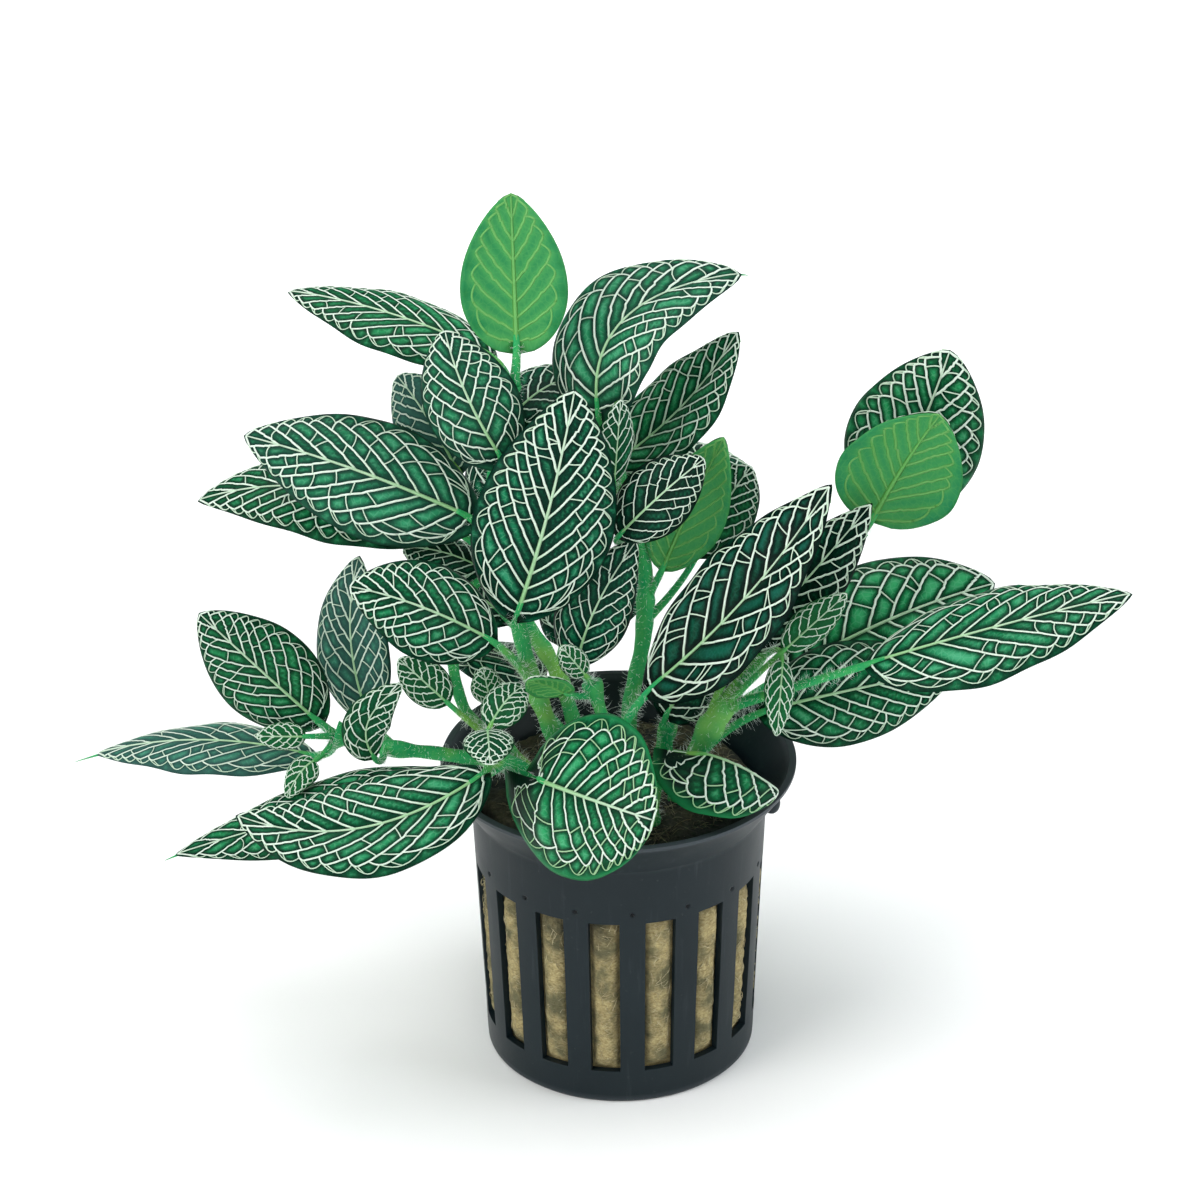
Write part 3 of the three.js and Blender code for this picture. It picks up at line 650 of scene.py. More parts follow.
class Blade:
    def __init__(self, row, seed):
        fork, base, tip, face, bow, width, fold, lobe, *looks = row
        self.fork, self.width, self.lobe, self.looks = fork, width, lobe, dict(*looks)
        self.base, self.tip, self.bow = (np.array(value, dtype=float) for value in (base, tip, bow))
        self.face = unit(np.array(face, dtype=float))
        self.fold = math.radians(fold)
        self.length = float(np.linalg.norm(self.tip - self.base))
        self.size = min(max(width / 19, 0.3), 1.15)  # near 1 for a large leaf, whose relief is full
        self.random = np.random.default_rng(seed)
        self.phase = self.random.uniform(0, 2 * np.pi, 2)

    def midrib(self, u):
        # a parabola from base to tip, moved by the bow in its middle, with its cross directions
        u = np.asarray(u)[..., None]
        knee = (self.base + self.tip) / 2 + 2 * self.bow
        spot = curveAt(self.base, knee, self.tip, u)
        along = unit(2 * (1 - u) * (knee - self.base) + 2 * u * (self.tip - knee))
        out = unit(self.face - (along @ self.face)[..., None] * along)
        return spot, along, out, np.cross(along, out)

    def halfWidth(self, u):
        # half of: end width + (width - end width) * sin(pi * u^shift)^sharpness; slender blades are sharper
        sharpness = min(max(0.42 + 0.2 * self.length / self.width, 0.6), 0.95)
        full = np.maximum(np.sin(np.pi * np.clip(u, 0, 1) ** bladeLook["widestShift"]), 0) ** sharpness
        ends = bladeLook["endWidth"] * (1 - 0.85 * np.clip(u, 0, 1) ** 6)
        return (ends + (self.width - ends) * full) / 2

    def surface(self, u, v):
        # middle surface: midrib + across * v * half * cos(fold) + out * half * (sin(fold) * |v|
        # - droop * v^2) - along * (lobe * v^2 + skew * v) * (1 - u)^2, with a small wave in the margin
        u, v = np.broadcast_arrays(u, v)
        spot, along, out, across = self.midrib(u)
        half = self.halfWidth(u)
        bent = np.sqrt(v * v + 0.0025) - 0.05
        rise = half * (math.sin(self.fold) * bent - bladeLook["edgeDroop"] * v * v)
        phase = np.where(v > 0, self.phase[0], self.phase[1])
        wave = np.sin(2 * np.pi * u * (1.5 + self.length / 22) + phase)
        rise = rise + bladeLook["ripple"] * self.size * np.abs(v) ** 3 * wave * np.sin(np.pi * u)
        spread = v * half * math.cos(self.fold)
        back = (self.lobe * v * v + self.looks.get("skew", 0) * v) * (1 - u) ** 2
        return spot + across * spread[..., None] + out * rise[..., None] - along * back[..., None]

    def normal(self, u, v, step=0.004):
        # square to the surface, from the steps that it takes along u and v
        low, high = np.clip(u - step, 0, 1), np.clip(u + step, 0, 1)
        alongU = self.surface(high, v) - self.surface(low, v)
        alongV = self.surface(u, v + step) - self.surface(u, v - step)
        return unit(np.cross(alongV, alongU))

    def flat(self, u, v):
        # the blade spread flat, in mm along and across
        return np.stack(np.broadcast_arrays(u * self.length, v * self.halfWidth(u)), axis=-1)


# ---- the net of veins ----

netLook = {
    "fewest": 5.5,  # pairs of side veins on the smallest leaf
    "most": 11,
    "spacing": 7.5,  # mm of midrib to each pair more
    "feet": (0.004, 0.84),  # where the first pair leaves the midrib, and how far on the last one does
    "gather": 1.25,  # above 1 the pairs gather towards the leaf's foot
    "jitter": 0.14,
    "lean": (23, 46),  # the smallest and largest angle of the pairs near the tip
    "fan": 28,  # how much wider the first pair stands
    "fanFade": 2.2,
    "edge": 0.79,  # how far out the side veins reach before they loop
    "rim": 0.93,  # how far out the last arcs run
    "ladder": 2.4,  # mm of side vein to each ladder vein
    "bend": 1.06,  # above 1 a side vein turns forward towards its end
    "turn": 1.22,  # and leaves the midrib the more steeply
    "midrib": (0.85, 0.26),  # widths in mm at the foot and the tip
    "side": (0.50, 0.40),
    "loop": (0.40, 0.34),
    "cross": (0.28, 0.25),
    "outer": (0.25, 0.21),
    "proud": 0.10,  # how far a vein stands out of the surface
    "sunk": 0.04,  # how far its feet reach into the blade
    "below": (1.3, 1.2),  # how much wider and prouder the underside's veins are
}


def sideStarts(blade):
    # where side veins leave the midrib and where they reach their loops, both along u. A vein leaves at
    # lean + fan * exp(-number / fanFade) degrees, so it runs forward by edge * half width / tan(angle)
    look, looks = netLook, blade.looks
    count = looks.get("sides", min(round(look["fewest"] + blade.length / look["spacing"]), look["most"]))
    number = np.arange(count)
    lean = looks.get("lean", np.clip(10 + 28 * blade.width / blade.length, *look["lean"]))
    angle = np.radians(lean + looks.get("fan", look["fan"]) * np.exp(-number / look["fanFade"]))
    jitter = blade.random.uniform(-look["jitter"], look["jitter"], count).clip(-number)
    first, spread = look["feet"]
    start = first + spread * ((number + jitter) / (count - 1)) ** looks.get("gather", look["gather"])
    finish = start + 0.2
    # the width at its finish sets how far a vein runs, so the finish is found in small steps
    for _ in range(12):
        run = look["edge"] * blade.halfWidth(finish) / np.tan(angle) / blade.length
        finish = 0.5 * finish + 0.5 * np.minimum(start + run, 0.972)
    return start, np.maximum.accumulate(finish + 0.02 * number / count)


def veinNet(blade):
    # on the blade spread flat, a side vein runs nearly straight from the midrib to the share edge of the
    # half width. Each loops into the next one, ladder veins join neighbours, and arcs and spurs close a
    # row of small cells along the margin
    look, random = netLook, blade.random
    net = [("midrib", np.stack([np.linspace(0, 0.985, 40), np.zeros(40)], axis=-1)[None])]
    for side in (-1, 1):
        start, finish = sideStarts(blade)
        count = len(start)
        number = np.arange(count)
        reach = look["edge"] * blade.halfWidth(finish)

        def along(row, s):
            # the place (u, v) at the share s of side vein row
            s = np.asarray(s, dtype=float)
            u = start[row] + (finish[row] - start[row]) * s ** look["bend"]
            v = reach[row] * (1 - (1 - s) ** look["turn"]) / blade.halfWidth(u)
            return np.stack(np.broadcast_arrays(u, side * np.minimum(v, look["edge"])), axis=-1)

        s = np.linspace(0, 1, 15)
        wobble = random.normal(0, 0.11 / blade.length, (count, 15)) * np.sin(np.pi * s)
        main = along(number[:, None], s[None]) + np.stack([wobble, 0 * wobble], axis=-1)
        net.append(("side", main))
        joins = along(number[1:], random.uniform(0.78, 0.90, count - 1))
        ends = main[:-1, -1]
        knee = 0.4 * joins + 0.6 * ends + [[0.010, side * 0.09]]
        loops = curvesThrough(ends, knee, joins, 7)
        lastLoop = curvesThrough(main[-1:, -1], np.array([[0.985, side * 0.5]]), np.array([[0.99, 0.0]]), 7)
        net.append(("loop", np.concatenate([loops, lastLoop])))
        # arcs run along the margin from loop to loop, and from the first side vein
        middles = np.concatenate([along(0, [0.5]), loops[:, 3], lastLoop[:, 2]])
        knee = (middles[:-1] + middles[1:]) / 2
        knee[:, 1] = side * (look["rim"] * 2 - np.abs(middles[:-1, 1] + middles[1:, 1]) / 2
                             - 0.03 * random.random(len(knee)))
        arcs = curvesThrough(middles[:-1], knee, middles[1:], 9)
        net.append(("outer", arcs))
        feet = np.concatenate([along(0, [0.8]), main[1:, -1]])
        spurs = arcs[:, 4] + random.uniform(-0.006, 0.006, (len(arcs), 1)) * [[1, 0]]
        net.append(("outer", curvesThrough(feet, (spurs + feet) / 2 + [[0.004, 0]], spurs, 4)))
        # ladder veins cross from one side vein to the next, square to both
        steps = np.stack([(finish - start) * blade.length, reach], axis=-1)
        sideLength = np.linalg.norm(steps, axis=-1)[:-1]
        lean = np.diff(start) * blade.length * (finish - start)[:-1] * blade.length / sideLength**2
        rungs = int(np.clip(round(0.56 * sideLength.mean() / look["ladder"]), 1, 5))
        for rung in range(rungs):
            share = 0.42 + 0.50 * (rung + 0.5 + random.uniform(-0.3, 0.3, count - 1)) / rungs
            back = np.clip(share - lean * random.uniform(0.6, 1.3, count - 1), 0.08, 0.95)
            begin, end = along(number[:-1], share), along(number[1:], back)
            sway = random.uniform(-0.15, 0.15, (count - 1, 1)) * np.abs(end - begin)
            path = curvesThrough(begin, (begin + end) / 2 + sway[:, ::-1] * [[0.4, 1.0]], end, 5)
            kept = (random.random(count - 1) < 0.55 + 0.4 * share) & (back > 0.22)
            net.append(("cross", path[kept]))
    return [(kind, paths) for kind, paths in net if len(paths)]


def veinWidths(blade, kind, points):
    first, last = netLook[kind]
    scale = (0.45 + 0.55 * blade.size) * blade.looks.get("net", 1.0)
    if kind == "midrib":
        scale = 0.35 + 0.65 * blade.size
    return np.linspace(first, last, points) * scale


def whiteness(blade, kind, paths):
    # veins start green like the stalk and bleach outwards and towards the tip; the ladders of a leaf
    # with a green margin stay greenish
    u, v = paths[..., 0], np.abs(paths[..., 1])
    if kind == "midrib":
        return np.clip(0.12 + 0.75 * u, 0, 0.8)
    faint = {"cross": 0.82, "outer": 0.74}.get(kind, 1.0)
    if "rim" in blade.looks and faint < 1:
        faint = faint - 0.45
    return np.clip(0.40 + 1.8 * v + 0.5 * u, 0, faint)


def heightOver(grid, u, v):
    # the quilted height of the drawn surface at any place, read between its grid points
    rows, columns = grid.shape
    x, y = np.clip(u, 0, 1) * (rows - 1), (np.clip(v, -1, 1) + 1) / 2 * (columns - 1)
    i, j = np.minimum(x.astype(int), rows - 2), np.minimum(y.astype(int), columns - 2)
    a, b = x - i, y - j
    return ((1 - a) * (1 - b) * grid[i, j] + a * (1 - b) * grid[i + 1, j]
            + (1 - a) * b * grid[i, j + 1] + a * b * grid[i + 1, j + 1])


def halfThickness(u, v):
    # both faces meet at the margin and at the ends
    across = np.sqrt(np.clip(1 - v**6, 0, 1))
    ends = np.sqrt(np.clip(1 - (2 * u - 1) ** 30, 0, 1))
    return bladeLook["thickness"] / 2 * across * ends


def distanceToNet(blade, net, u, v, batch=500):
    # mm from each grid point to the side of the nearest vein
    spots, reaches = [], []
    for kind, paths in net:
        whole, between = (np.linspace(0, 1, count) for count in (paths.shape[1], 3 * paths.shape[1]))
        fine = np.array([readAt(between, whole, path) for path in paths])
        widths = np.interp(between, whole, veinWidths(blade, kind, paths.shape[1])) / 2
        spots.append(blade.flat(fine[..., 0], fine[..., 1]).reshape(-1, 2))
        reaches.append(np.tile(widths, len(paths)))
    spots, reaches = np.concatenate(spots).astype(np.float32), np.concatenate(reaches).astype(np.float32)
    places = blade.flat(u, v).reshape(-1, 2).astype(np.float32)
    nearest = np.empty(len(places), dtype=np.float32)
    for first in range(0, len(places), batch):
        gap = places[first:first + batch, None] - spots[None]
        nearest[first:first + batch] = (np.sqrt((gap**2).sum(-1)) - reaches).min(axis=1)
    return np.maximum(nearest, 0).reshape(u.shape)


def gridQuads(at):
    return np.stack([at[:-1, :-1], at[1:, :-1], at[1:, 1:], at[:-1, 1:]], axis=-1).reshape(-1, 4)


def addBlade(heap, veins, blade):
    # both faces stand off the middle surface by half the thickness and swell between the veins
    look, looks = bladeLook, blade.looks
    # an odd number of columns, so that one runs along the midrib
    rows = int(np.clip(blade.length / look["gridStep"], 24, 90))
    columns = 2 * int(np.clip(blade.width / look["gridStep"] / 2, 8, 24)) + 1
    u, v = np.meshgrid(np.linspace(0, 1, rows), np.linspace(-1, 1, columns), indexing="ij")
    out = np.abs(v)
    net = veinNet(blade)
    distance = distanceToNet(blade, net, u, v)
    ribs = distanceToNet(blade, [pair for pair in net if pair[0] in ("midrib", "side")], u, v)
    margin = np.clip((1 - out) * blade.halfWidth(u) / 0.8, 0, 1)
    swell = look["quilt"] * blade.size * (1 - np.exp(-((distance / look["quiltReach"]) ** 2))) * margin
    middle, square = blade.surface(u, v), blade.normal(u, v)
    over = halfThickness(u, v) + swell
    below = halfThickness(u, v) - look["quiltBelow"] * swell
    upper, lower = middle + square * over[..., None], middle - square * below[..., None]
    onEdge = (out == 1) | (u == 0) | (u == 1)
    upper[onEdge] = lower[onEdge] = middle[onEdge]
    top = np.arange(rows * columns).reshape(rows, columns)
    under = np.where(onEdge, top, top + rows * columns)
    # cell and valley: 0 at a vein and 1 in the middle of a green cell, on the upper and the lower face; the
    # upper face paints its low cell as shade, near-black in the grooves along the veins
    fresh, youth = looks.get("fresh", 0), np.clip(0.5 - blade.size, 0, 0.35)
    cell = np.clip(distance / look["cellReach"], 0, 1)
    cell = cell * (0.20 + 0.80 * np.clip((0.99 - out) * 8, 0, 1))
    # painted shade towards the midrib, where the blade folds, less of it on a fresh leaf
    cell = cell * (0.35 + 0.65 * np.clip(out / 0.5 + fresh, 0, 1))
    valley = np.clip(ribs / look["valleyReach"], 0, 1)
    rim = looks.get("rim", 0) * np.clip((out - 0.90) * 12, 0, 1)
    # the painted cool sheen, stronger in the middle of a cell
    blue = looks.get("blue", 0.0) * (0.4 + 0.6 * cell) * 0.8
    shades = {"cell": (cell, valley), "rim": (rim, rim), "blue": (blue, blue),
              "young": (youth + fresh * cell, youth + fresh * valley)}
    # each leaf takes its own part of the pattern of cells
    flat = np.concatenate([blade.flat(u, v), np.full((rows, columns, 1), 7.0 * blade.phase[0])], axis=-1)
    heap.add([upper, lower], [(gridQuads(top)[:, ::-1], 0), (gridQuads(under), 1)],
             flat=np.tile(flat.reshape(-1, 3), (2, 1)), deep=looks.get("deep", 0.12 * blade.random.random()),
             **{key: np.ravel(faces) for key, faces in shades.items()})
    for kind, paths in net:
        addVeins(veins, blade, kind, paths, over, 1)
        if kind in ("midrib", "side", "loop"):
            addVeins(veins, blade, kind, paths, below, -1)


def addVeins(heap, blade, kind, paths, heights, side):
    # each vein is a low ridge with three edges: left foot, crest, right foot; side is 1 on the upper
    # face and -1 on the lower one, where veins stand out more
    u, v = paths[..., 0], paths[..., 1]
    square = blade.normal(u, v) * side
    centre = blade.surface(u, v) + square * heightOver(heights, u, v)[..., None]
    beside = np.cross(unit(np.gradient(centre, axis=1)), square)
    points = paths.shape[1]
    wider, prouder = (1.0, 1.0) if side > 0 else netLook["below"]
    reach = beside * (veinWidths(blade, kind, points) * wider / 2)[:, None]
    proud = netLook["proud"] * (2.4 if kind == "midrib" else 1.0) * prouder
    sunk = square * netLook["sunk"]
    crest = square * (proud * (0.5 + 0.5 * blade.size))
    ridge = np.stack([centre - reach - sunk, centre + crest, centre + reach - sunk], axis=2)
    heap.addTubes(ridge, 0 if side > 0 else 1, white=np.repeat(whiteness(blade, kind, paths).ravel(), 3))


# ---- stems, stalks and their hairs ----

stemLook = {
    "straightHeights": (30, 40, 45),  # a stem stands straight up through these heights
    "stalkRadius": (0.85, 0.55),
    "stalkPull": 0.45,  # how far back the stalk's knee lies, as a share of its reach
    "stalkEnd": 0.06,  # how far along the midrib it ends
    "swelling": 0.28,  # how much thicker a stem is where a stalk leaves it
    "swellReach": 1.6,  # mm along the stem
    "sides": 14,
    "stalkSides": 10,
    "stalkRings": 18,
    "hairLength": (0.6, 1.5),
    "hairRadius": 0.024,
    "hairSpread": 0.28,  # how unevenly they stand
    "hairsPerMm": 14.0,
}


def smoothRoute(points, steps=14):
    # centripetal Catmull-Rom curve through the points: knots spaced by the root of the distance
    points = np.array(points, dtype=float)
    held = np.vstack([2 * points[0] - points[1], points, 2 * points[-1] - points[-2]])
    gap = np.sqrt(np.linalg.norm(np.diff(held, axis=0), axis=1))
    t = np.linspace(0, 1, steps, endpoint=False)[:, None]
    spans = []
    for i in range(1, len(held) - 2):
        before, start, end, after = held[i - 1:i + 3]
        d0, d1, d2 = gap[i - 1:i + 2]
        leave = ((start - before) / d0 - (end - before) / (d0 + d1) + (end - start) / d1) * d1
        arrive = ((end - start) / d1 - (after - start) / (d1 + d2) + (after - end) / d2) * d1
        spans.append((2 * t**3 - 3 * t**2 + 1) * start + (t**3 - 2 * t**2 + t) * leave
                     + (3 * t**2 - 2 * t**3) * end + (t**3 - t**2) * arrive)
    return np.vstack(spans + [points[-1:]])


def strands(roots, knees, tips, radius, rings=4, point=0.15):
    # thin three-sided spikes along quadratic curves, narrowing to a point
    path = curvesThrough(roots, knees, tips, rings)
    along = unit(tips - roots)
    reference = np.where(np.abs(along[:, 2:]) > 0.8, [[1.0, 0, 0]], [[0, 0, 1.0]])
    first = unit(np.cross(along, reference))
    ring = ringRound(first[:, None], np.cross(along, first)[:, None], 3)
    width = np.asarray(radius).reshape(-1, 1, 1, 1) * np.linspace(1, point, rings)[None, :, None, None]
    return path[:, :, None] + width * ring


def addHairs(heap, path, radii, random):
    # hairs stand out of the bark in random directions round the stem, and droop a little
    look = stemLook
    shares, length = shareAlong(path)
    count = int(length * look["hairsPerMm"])
    share = random.random(count)
    along, first, second = crossFrame(path)
    angle = random.uniform(0, 2 * np.pi, count)[:, None]
    sideways, upward = readAt(share, shares, first), readAt(share, shares, second)
    radial = unit(sideways * np.cos(angle) + upward * np.sin(angle))
    radius = np.interp(share, shares, radii)[:, None]
    size = random.uniform(*look["hairLength"], count)[:, None]
    lean = unit(radial + random.normal(0, look["hairSpread"], (count, 3))
                + readAt(share, shares, along) * 0.15)
    roots = readAt(share, shares, path) + radial * radius * 0.92
    tips = roots + lean * size + random.normal(0, 0.12, (count, 3)) * size
    knees = roots + radial * size * 0.55
    spikes = strands(roots, knees, tips, look["hairRadius"] * random.uniform(0.7, 1.2, count), 4, 0.25)
    heap.addTubes(spikes)


def makeShoot(name, seed):
    shoot, look = shoots[name], stemLook
    random = np.random.default_rng(seed)
    x, y, _ = shoot["route"][0]
    stem = smoothRoute([(x, y, height) for height in look["straightHeights"]] + shoot["route"])
    shares, length = shareAlong(stem)
    thick, thin = shoot["radius"]
    radii = thick + (thin - thick) * shares
    for fork, *_ in shoot["leaves"]:
        away = (shares - fork) * length / look["swellReach"]
        radii = radii * (1 + look["swelling"] * np.exp(-(away**2)))
    radii = radii * (1 + 0.05 * np.sin(shares * length * 1.1 + seed))
    leafHeap, veinHeap, stemHeap, hairHeap = Heap(), Heap(), Heap(), Heap()
    sides = look["sides"]
    stemHeap.addTubes(tubeAlong(stem, radii, sides), young=np.repeat(shares * 0.8, sides))
    # the part inside the wool stays bare
    addHairs(hairHeap, stem[30:], radii[30:], random)
    for index, row in enumerate(shoot["leaves"]):
        blade = Blade(row, seed * 100 + index)
        addStalk(stemHeap, hairHeap, readAt(blade.fork, shares, stem), blade, random)
        addBlade(leafHeap, veinHeap, blade)
        if "tip" in blade.looks:
            # the drip tip: a hair-thin end that carries the midrib on and sags
            end, forward, _, _ = blade.midrib(np.array([0.97]))
            tipEnd = end + forward * (blade.looks["tip"] + 1.0) + [[0, 0, -0.3]]
            spike = strands(end, end + forward * 1.4, tipEnd, np.array([0.3]), 6, 0.2)
            stemHeap.addTubes(spike, young=0.9)
    leafHeap.finish(name + "_blades", [leafUpper, leafUnder], "leaf_green", name)
    veinHeap.finish(name + "_veins", [veinWhite, veinUnder], "vein_white", name)
    stemHeap.finish(name + "_stems", [stemGreen], "stem_green", name)
    hairHeap.finish(name + "_hairs", [stemHair], "stem_hair", name)
    print(name, "made:", len(shoot["leaves"]), "leaves")


def addStalk(stemHeap, hairHeap, forkPlace, blade, random):
    # a stalk bends from its fork on the stem into the first part of the blade's midrib
    look = stemLook
    rings = look["stalkRings"]
    spot, along, _, _ = blade.midrib(np.array(look["stalkEnd"]))
    reach = np.linalg.norm(forkPlace - blade.base)
    t = np.linspace(0, 1, rings)
    stalk = curveAt(forkPlace, blade.base - along * look["stalkPull"] * reach, spot, t[:, None])
    small = 0.55 + 0.45 * min(blade.size, 1)
    radii = np.linspace(*look["stalkRadius"], rings) * small * (1 + 0.25 * np.exp(-((t / 0.12) ** 2)))
    stemHeap.addTubes(tubeAlong(stalk, radii, look["stalkSides"]), young=0.55 + 0.35 * random.random())
    addHairs(hairHeap, stalk[1:15], radii[1:15], random)


for order, shootName in enumerate(shoots):
    makeShoot(shootName, order + 1)

# ---- the net pot ----

potLook = {
    "height": 50.0,
    "rimRadius": 27.5,
    "collarHeight": 7.0,
    "bodyTopRadius": 22.9,
    "bodyFootRadius": 21.0,
    "wall": 1.2,
    "floor": 1.4,
    "lip": (0.6, 1.1),  # height and width
    "slots": 16,
    "slotWidth": 4.6,
    "slotRadius": 21.6,  # the wall's radius about the middle of the slots
    "slotHeights": (6.0, 33.6),
    "firstSlot": -6.5,  # degrees from the front towards +X
    "drains": 8,
    "drainWidth": 2.6,
    "drainReach": (8.0, 17.0),
    "firstDrain": 22.5,
    "pegs": (82.0, 262.0),  # degrees too
    "pegHeight": 43.6,
    "pegSize": (1.4, 1.82),  # radius and half height
    "pitHeight": 34.9,
    "pitUneven": 0.6,  # how far a pit may lie above or below that
    "pitRadius": 0.34,
    "pitDepth": 0.45,
    "edgeRadius": 0.16,
}
# where the wall's grid has lines: shares of half a rib, and heights in mm at the lip
ribShares = (0.05, 0.14, 0.24, 0.36, 0.55, 0.8, 0.96)
lipHeights = (49.15, 49.3, 49.4, 49.5, 49.6, 49.8, 49.9, 50)


def roundedProfile(corners, radii, steps=6):
    # corners joined by straight lines, each rounded by a quadratic curve that starts its radius away
    path = [corners[0]]
    for before, corner, after, radius in zip(corners[:-2], corners[1:-1], corners[2:], radii):
        start = corner + unit(before - corner) * min(radius, 0.45 * np.linalg.norm(before - corner))
        end = corner + unit(after - corner) * min(radius, 0.45 * np.linalg.norm(after - corner))
        path += list(curveAt(start, corner, end, np.linspace(0, 1, steps)[:, None]))
    return np.array(path + [corners[-1]])


def wallRadii(z):
    # outer and inner radius of the wall and collar at each height
    look = potLook
    foot, top, rim = look["bodyFootRadius"], look["bodyTopRadius"], look["rimRadius"]
    height = look["height"]
    crease, (lipHeight, lipWidth) = height - look["collarHeight"], look["lip"]
    outer = [(foot - 0.5, 0.0), (foot, 0.5), (top, crease),
             (rim - 0.4, height - 0.4 - lipHeight), (rim, height - lipHeight), (rim, height)]
    inner = [(foot - look["wall"], 0.0), (top - look["wall"], crease + 0.5), (rim - lipWidth, height)]
    outer = roundedProfile(np.array(outer), (0.4, 0.4, 3.0, 0.25, 0.2))
    inner = roundedProfile(np.array(inner), (2.4,), 10)
    return np.interp(z, outer[:, 1], outer[:, 0]), np.interp(z, inner[:, 1], inner[:, 0])


def halfSlot():
    # degrees from the middle of a slot to its side
    return math.degrees(math.asin(potLook["slotWidth"] / 2 / potLook["slotRadius"]))


def atAngle(radius, degrees, z):
    # degrees run from the front, -Y, towards +X
    turn = np.radians(degrees)
    return np.stack(np.broadcast_arrays(radius * np.sin(turn), -radius * np.cos(turn), z), axis=-1)


def shellFaces(outer, inner, kept):
    # faces of a thick shell on a grid that closes round its columns: its outside and inside where a
    # cell is kept, and a joining strip wherever a kept cell meets a missing one
    nextOuter, nextInner = np.roll(outer, -1, axis=1), np.roll(inner, -1, axis=1)
    out = np.stack([outer[:-1], nextOuter[:-1], nextOuter[1:], outer[1:]], axis=-1)[kept]
    into = np.stack([inner[:-1], inner[1:], nextInner[1:], nextInner[:-1]], axis=-1)[kept]
    faces = [out, into]
    before = np.roll(kept, 1, axis=1)
    for here, reverse in ((kept & ~before, False), (~kept & before, True)):
        strip = np.stack([outer[:-1], outer[1:], inner[1:], inner[:-1]], axis=-1)[here]
        faces.append(strip[:, ::-1] if reverse else strip)
    padded = np.vstack([np.zeros_like(kept[:1]), kept, np.zeros_like(kept[:1])])
    for here, reverse in ((padded[1:] & ~padded[:-1], False), (~padded[1:] & padded[:-1], True)):
        strip = np.stack([outer, inner, nextInner, nextOuter], axis=-1)[here]
        faces.append(strip[:, ::-1] if reverse else strip)
    return np.concatenate(faces)


def addShell(heap, outer, inner, kept, worn=0.0, pit=0.0):
    # a thick shell from two grids of points; the inside is a little less worn and has no pits
    at = np.arange(kept.shape[1] * (len(kept) + 1)).reshape(-1, kept.shape[1])
    worn, pit = (np.broadcast_to(value, at.shape).ravel() for value in (worn, pit))
    heap.add([outer, inner], [(shellFaces(at, at + at.size, kept), 0)],
             worn=np.concatenate([worn, worn * 0.6]), pit=np.concatenate([pit, 0 * pit]))


def addWall(heap):
    look = potLook
    pitch = 360 / look["slots"]
    # columns: finer at the pit in the middle of each rib, one line on each side of a slot
    slotPart = np.linspace(-halfSlot(), halfSlot(), 9)
    ribPart = np.concatenate([-np.array(ribShares)[::-1], ribShares])
    sector = np.concatenate([slotPart, pitch / 2 + ribPart * (pitch / 2 - halfSlot())])
    degrees = (look["firstSlot"] + pitch * np.arange(look["slots"])[:, None] + sector).ravel()
    low, high = look["slotHeights"]
    # rows: from, to and number of each stretch
    stretches = ((0.7, low, 8), (low, high, 26), (high, 36.2, 20), (36.2, 41, 6), (41, 46, 22), (46, 49, 5))
    lines = [[0, 0.1, 0.25, 0.4, 0.5, low + 0.12, high - 0.12], lipHeights]
    z = np.unique(np.round(np.concatenate(lines + [np.linspace(*part) for part in stretches]), 3))
    outerRadius, innerRadius = wallRadii(z)
    z = z[:, None]
    kept = np.ones((len(z) - 1, len(degrees)), dtype=bool)
    inSlot = np.tile(np.arange(len(sector)) < 8, look["slots"])
    inHeight = (z[:-1] >= low - 1e-6) & (z[1:] <= high + 1e-6)
    kept[inHeight & inSlot] = False
    # a pit in each rib, a little above the slots, where a mould pin pressed
    ribs = look["firstSlot"] + pitch * (np.arange(look["slots"]) + 0.5)
    gap = (degrees[:, None] - ribs + 180) % 360 - 180
    nearest = np.abs(gap).argmin(axis=1)
    sideways = np.radians(gap[np.arange(len(degrees)), nearest]) * 22.4
    uneven = look["pitUneven"]
    heights = look["pitHeight"] + np.random.default_rng(5).uniform(-uneven, uneven, look["slots"])
    pit = np.exp(-((np.sqrt(sideways**2 + (z - heights[nearest]) ** 2) / look["pitRadius"]) ** 4))
    mould = 0.05 * softNoise(np.stack(np.broadcast_arrays(degrees * 0.4, z, 0.0), axis=-1), 6.0)
    outer = atAngle(outerRadius[:, None] - look["pitDepth"] * pit + mould, degrees, z)
    inner = atAngle(innerRadius[:, None], degrees, z)
    worn = np.clip((z - 49.0) / 0.6, 0, 1) * 0.8 + 0.5 * np.exp(-(((z - 0.5) / 0.4) ** 2))
    addShell(heap, outer, inner, kept, worn, pit)


def addPotFloor(heap):
    # drains keep parallel sides: angle = asin(half width / radius) at their edges
    look = potLook
    start, stop = look["drainReach"]
    stretches = [0.8], np.linspace(2, start, 5), np.linspace(start, stop, 10)[1:], [18, 19, 20.3]
    radius = np.concatenate(stretches)[:, None]
    step = 180 / look["drains"]
    half = np.degrees(np.arcsin(look["drainWidth"] / 2 / np.maximum(radius, start)))
    between = np.linspace(0, 1, 8)[1:-1]
    turns = np.concatenate([np.linspace(-1, 1, 5) * half, half + between * (2 * step - 2 * half)], axis=1)
    sector = turns.shape[1]
    centres = look["firstDrain"] + 2 * step * np.arange(look["drains"])
    turns = (centres[None, :, None] + turns[:, None, :]).reshape(len(radius), -1)
    kept = np.ones((len(radius) - 1, turns.shape[1]), dtype=bool)
    rowIn = (radius[:-1] >= start - 1e-6) & (radius[1:] <= stop + 1e-6)
    kept[rowIn & np.tile(np.arange(sector) < 4, look["drains"])] = False
    addShell(heap, atAngle(radius, turns, 0.0), atAngle(radius, turns, look["floor"]), kept)
    # the middle disc of the floor closes the hole inside the first ring
    ring = np.radians(np.arange(48) * 7.5)
    heights = np.array([0.0, look["floor"]])[:, None]
    disc = np.stack(np.broadcast_arrays(0.85 * np.cos(ring), 0.85 * np.sin(ring), heights), axis=-1)
    heap.addTubes(disc, worn=0, pit=0)


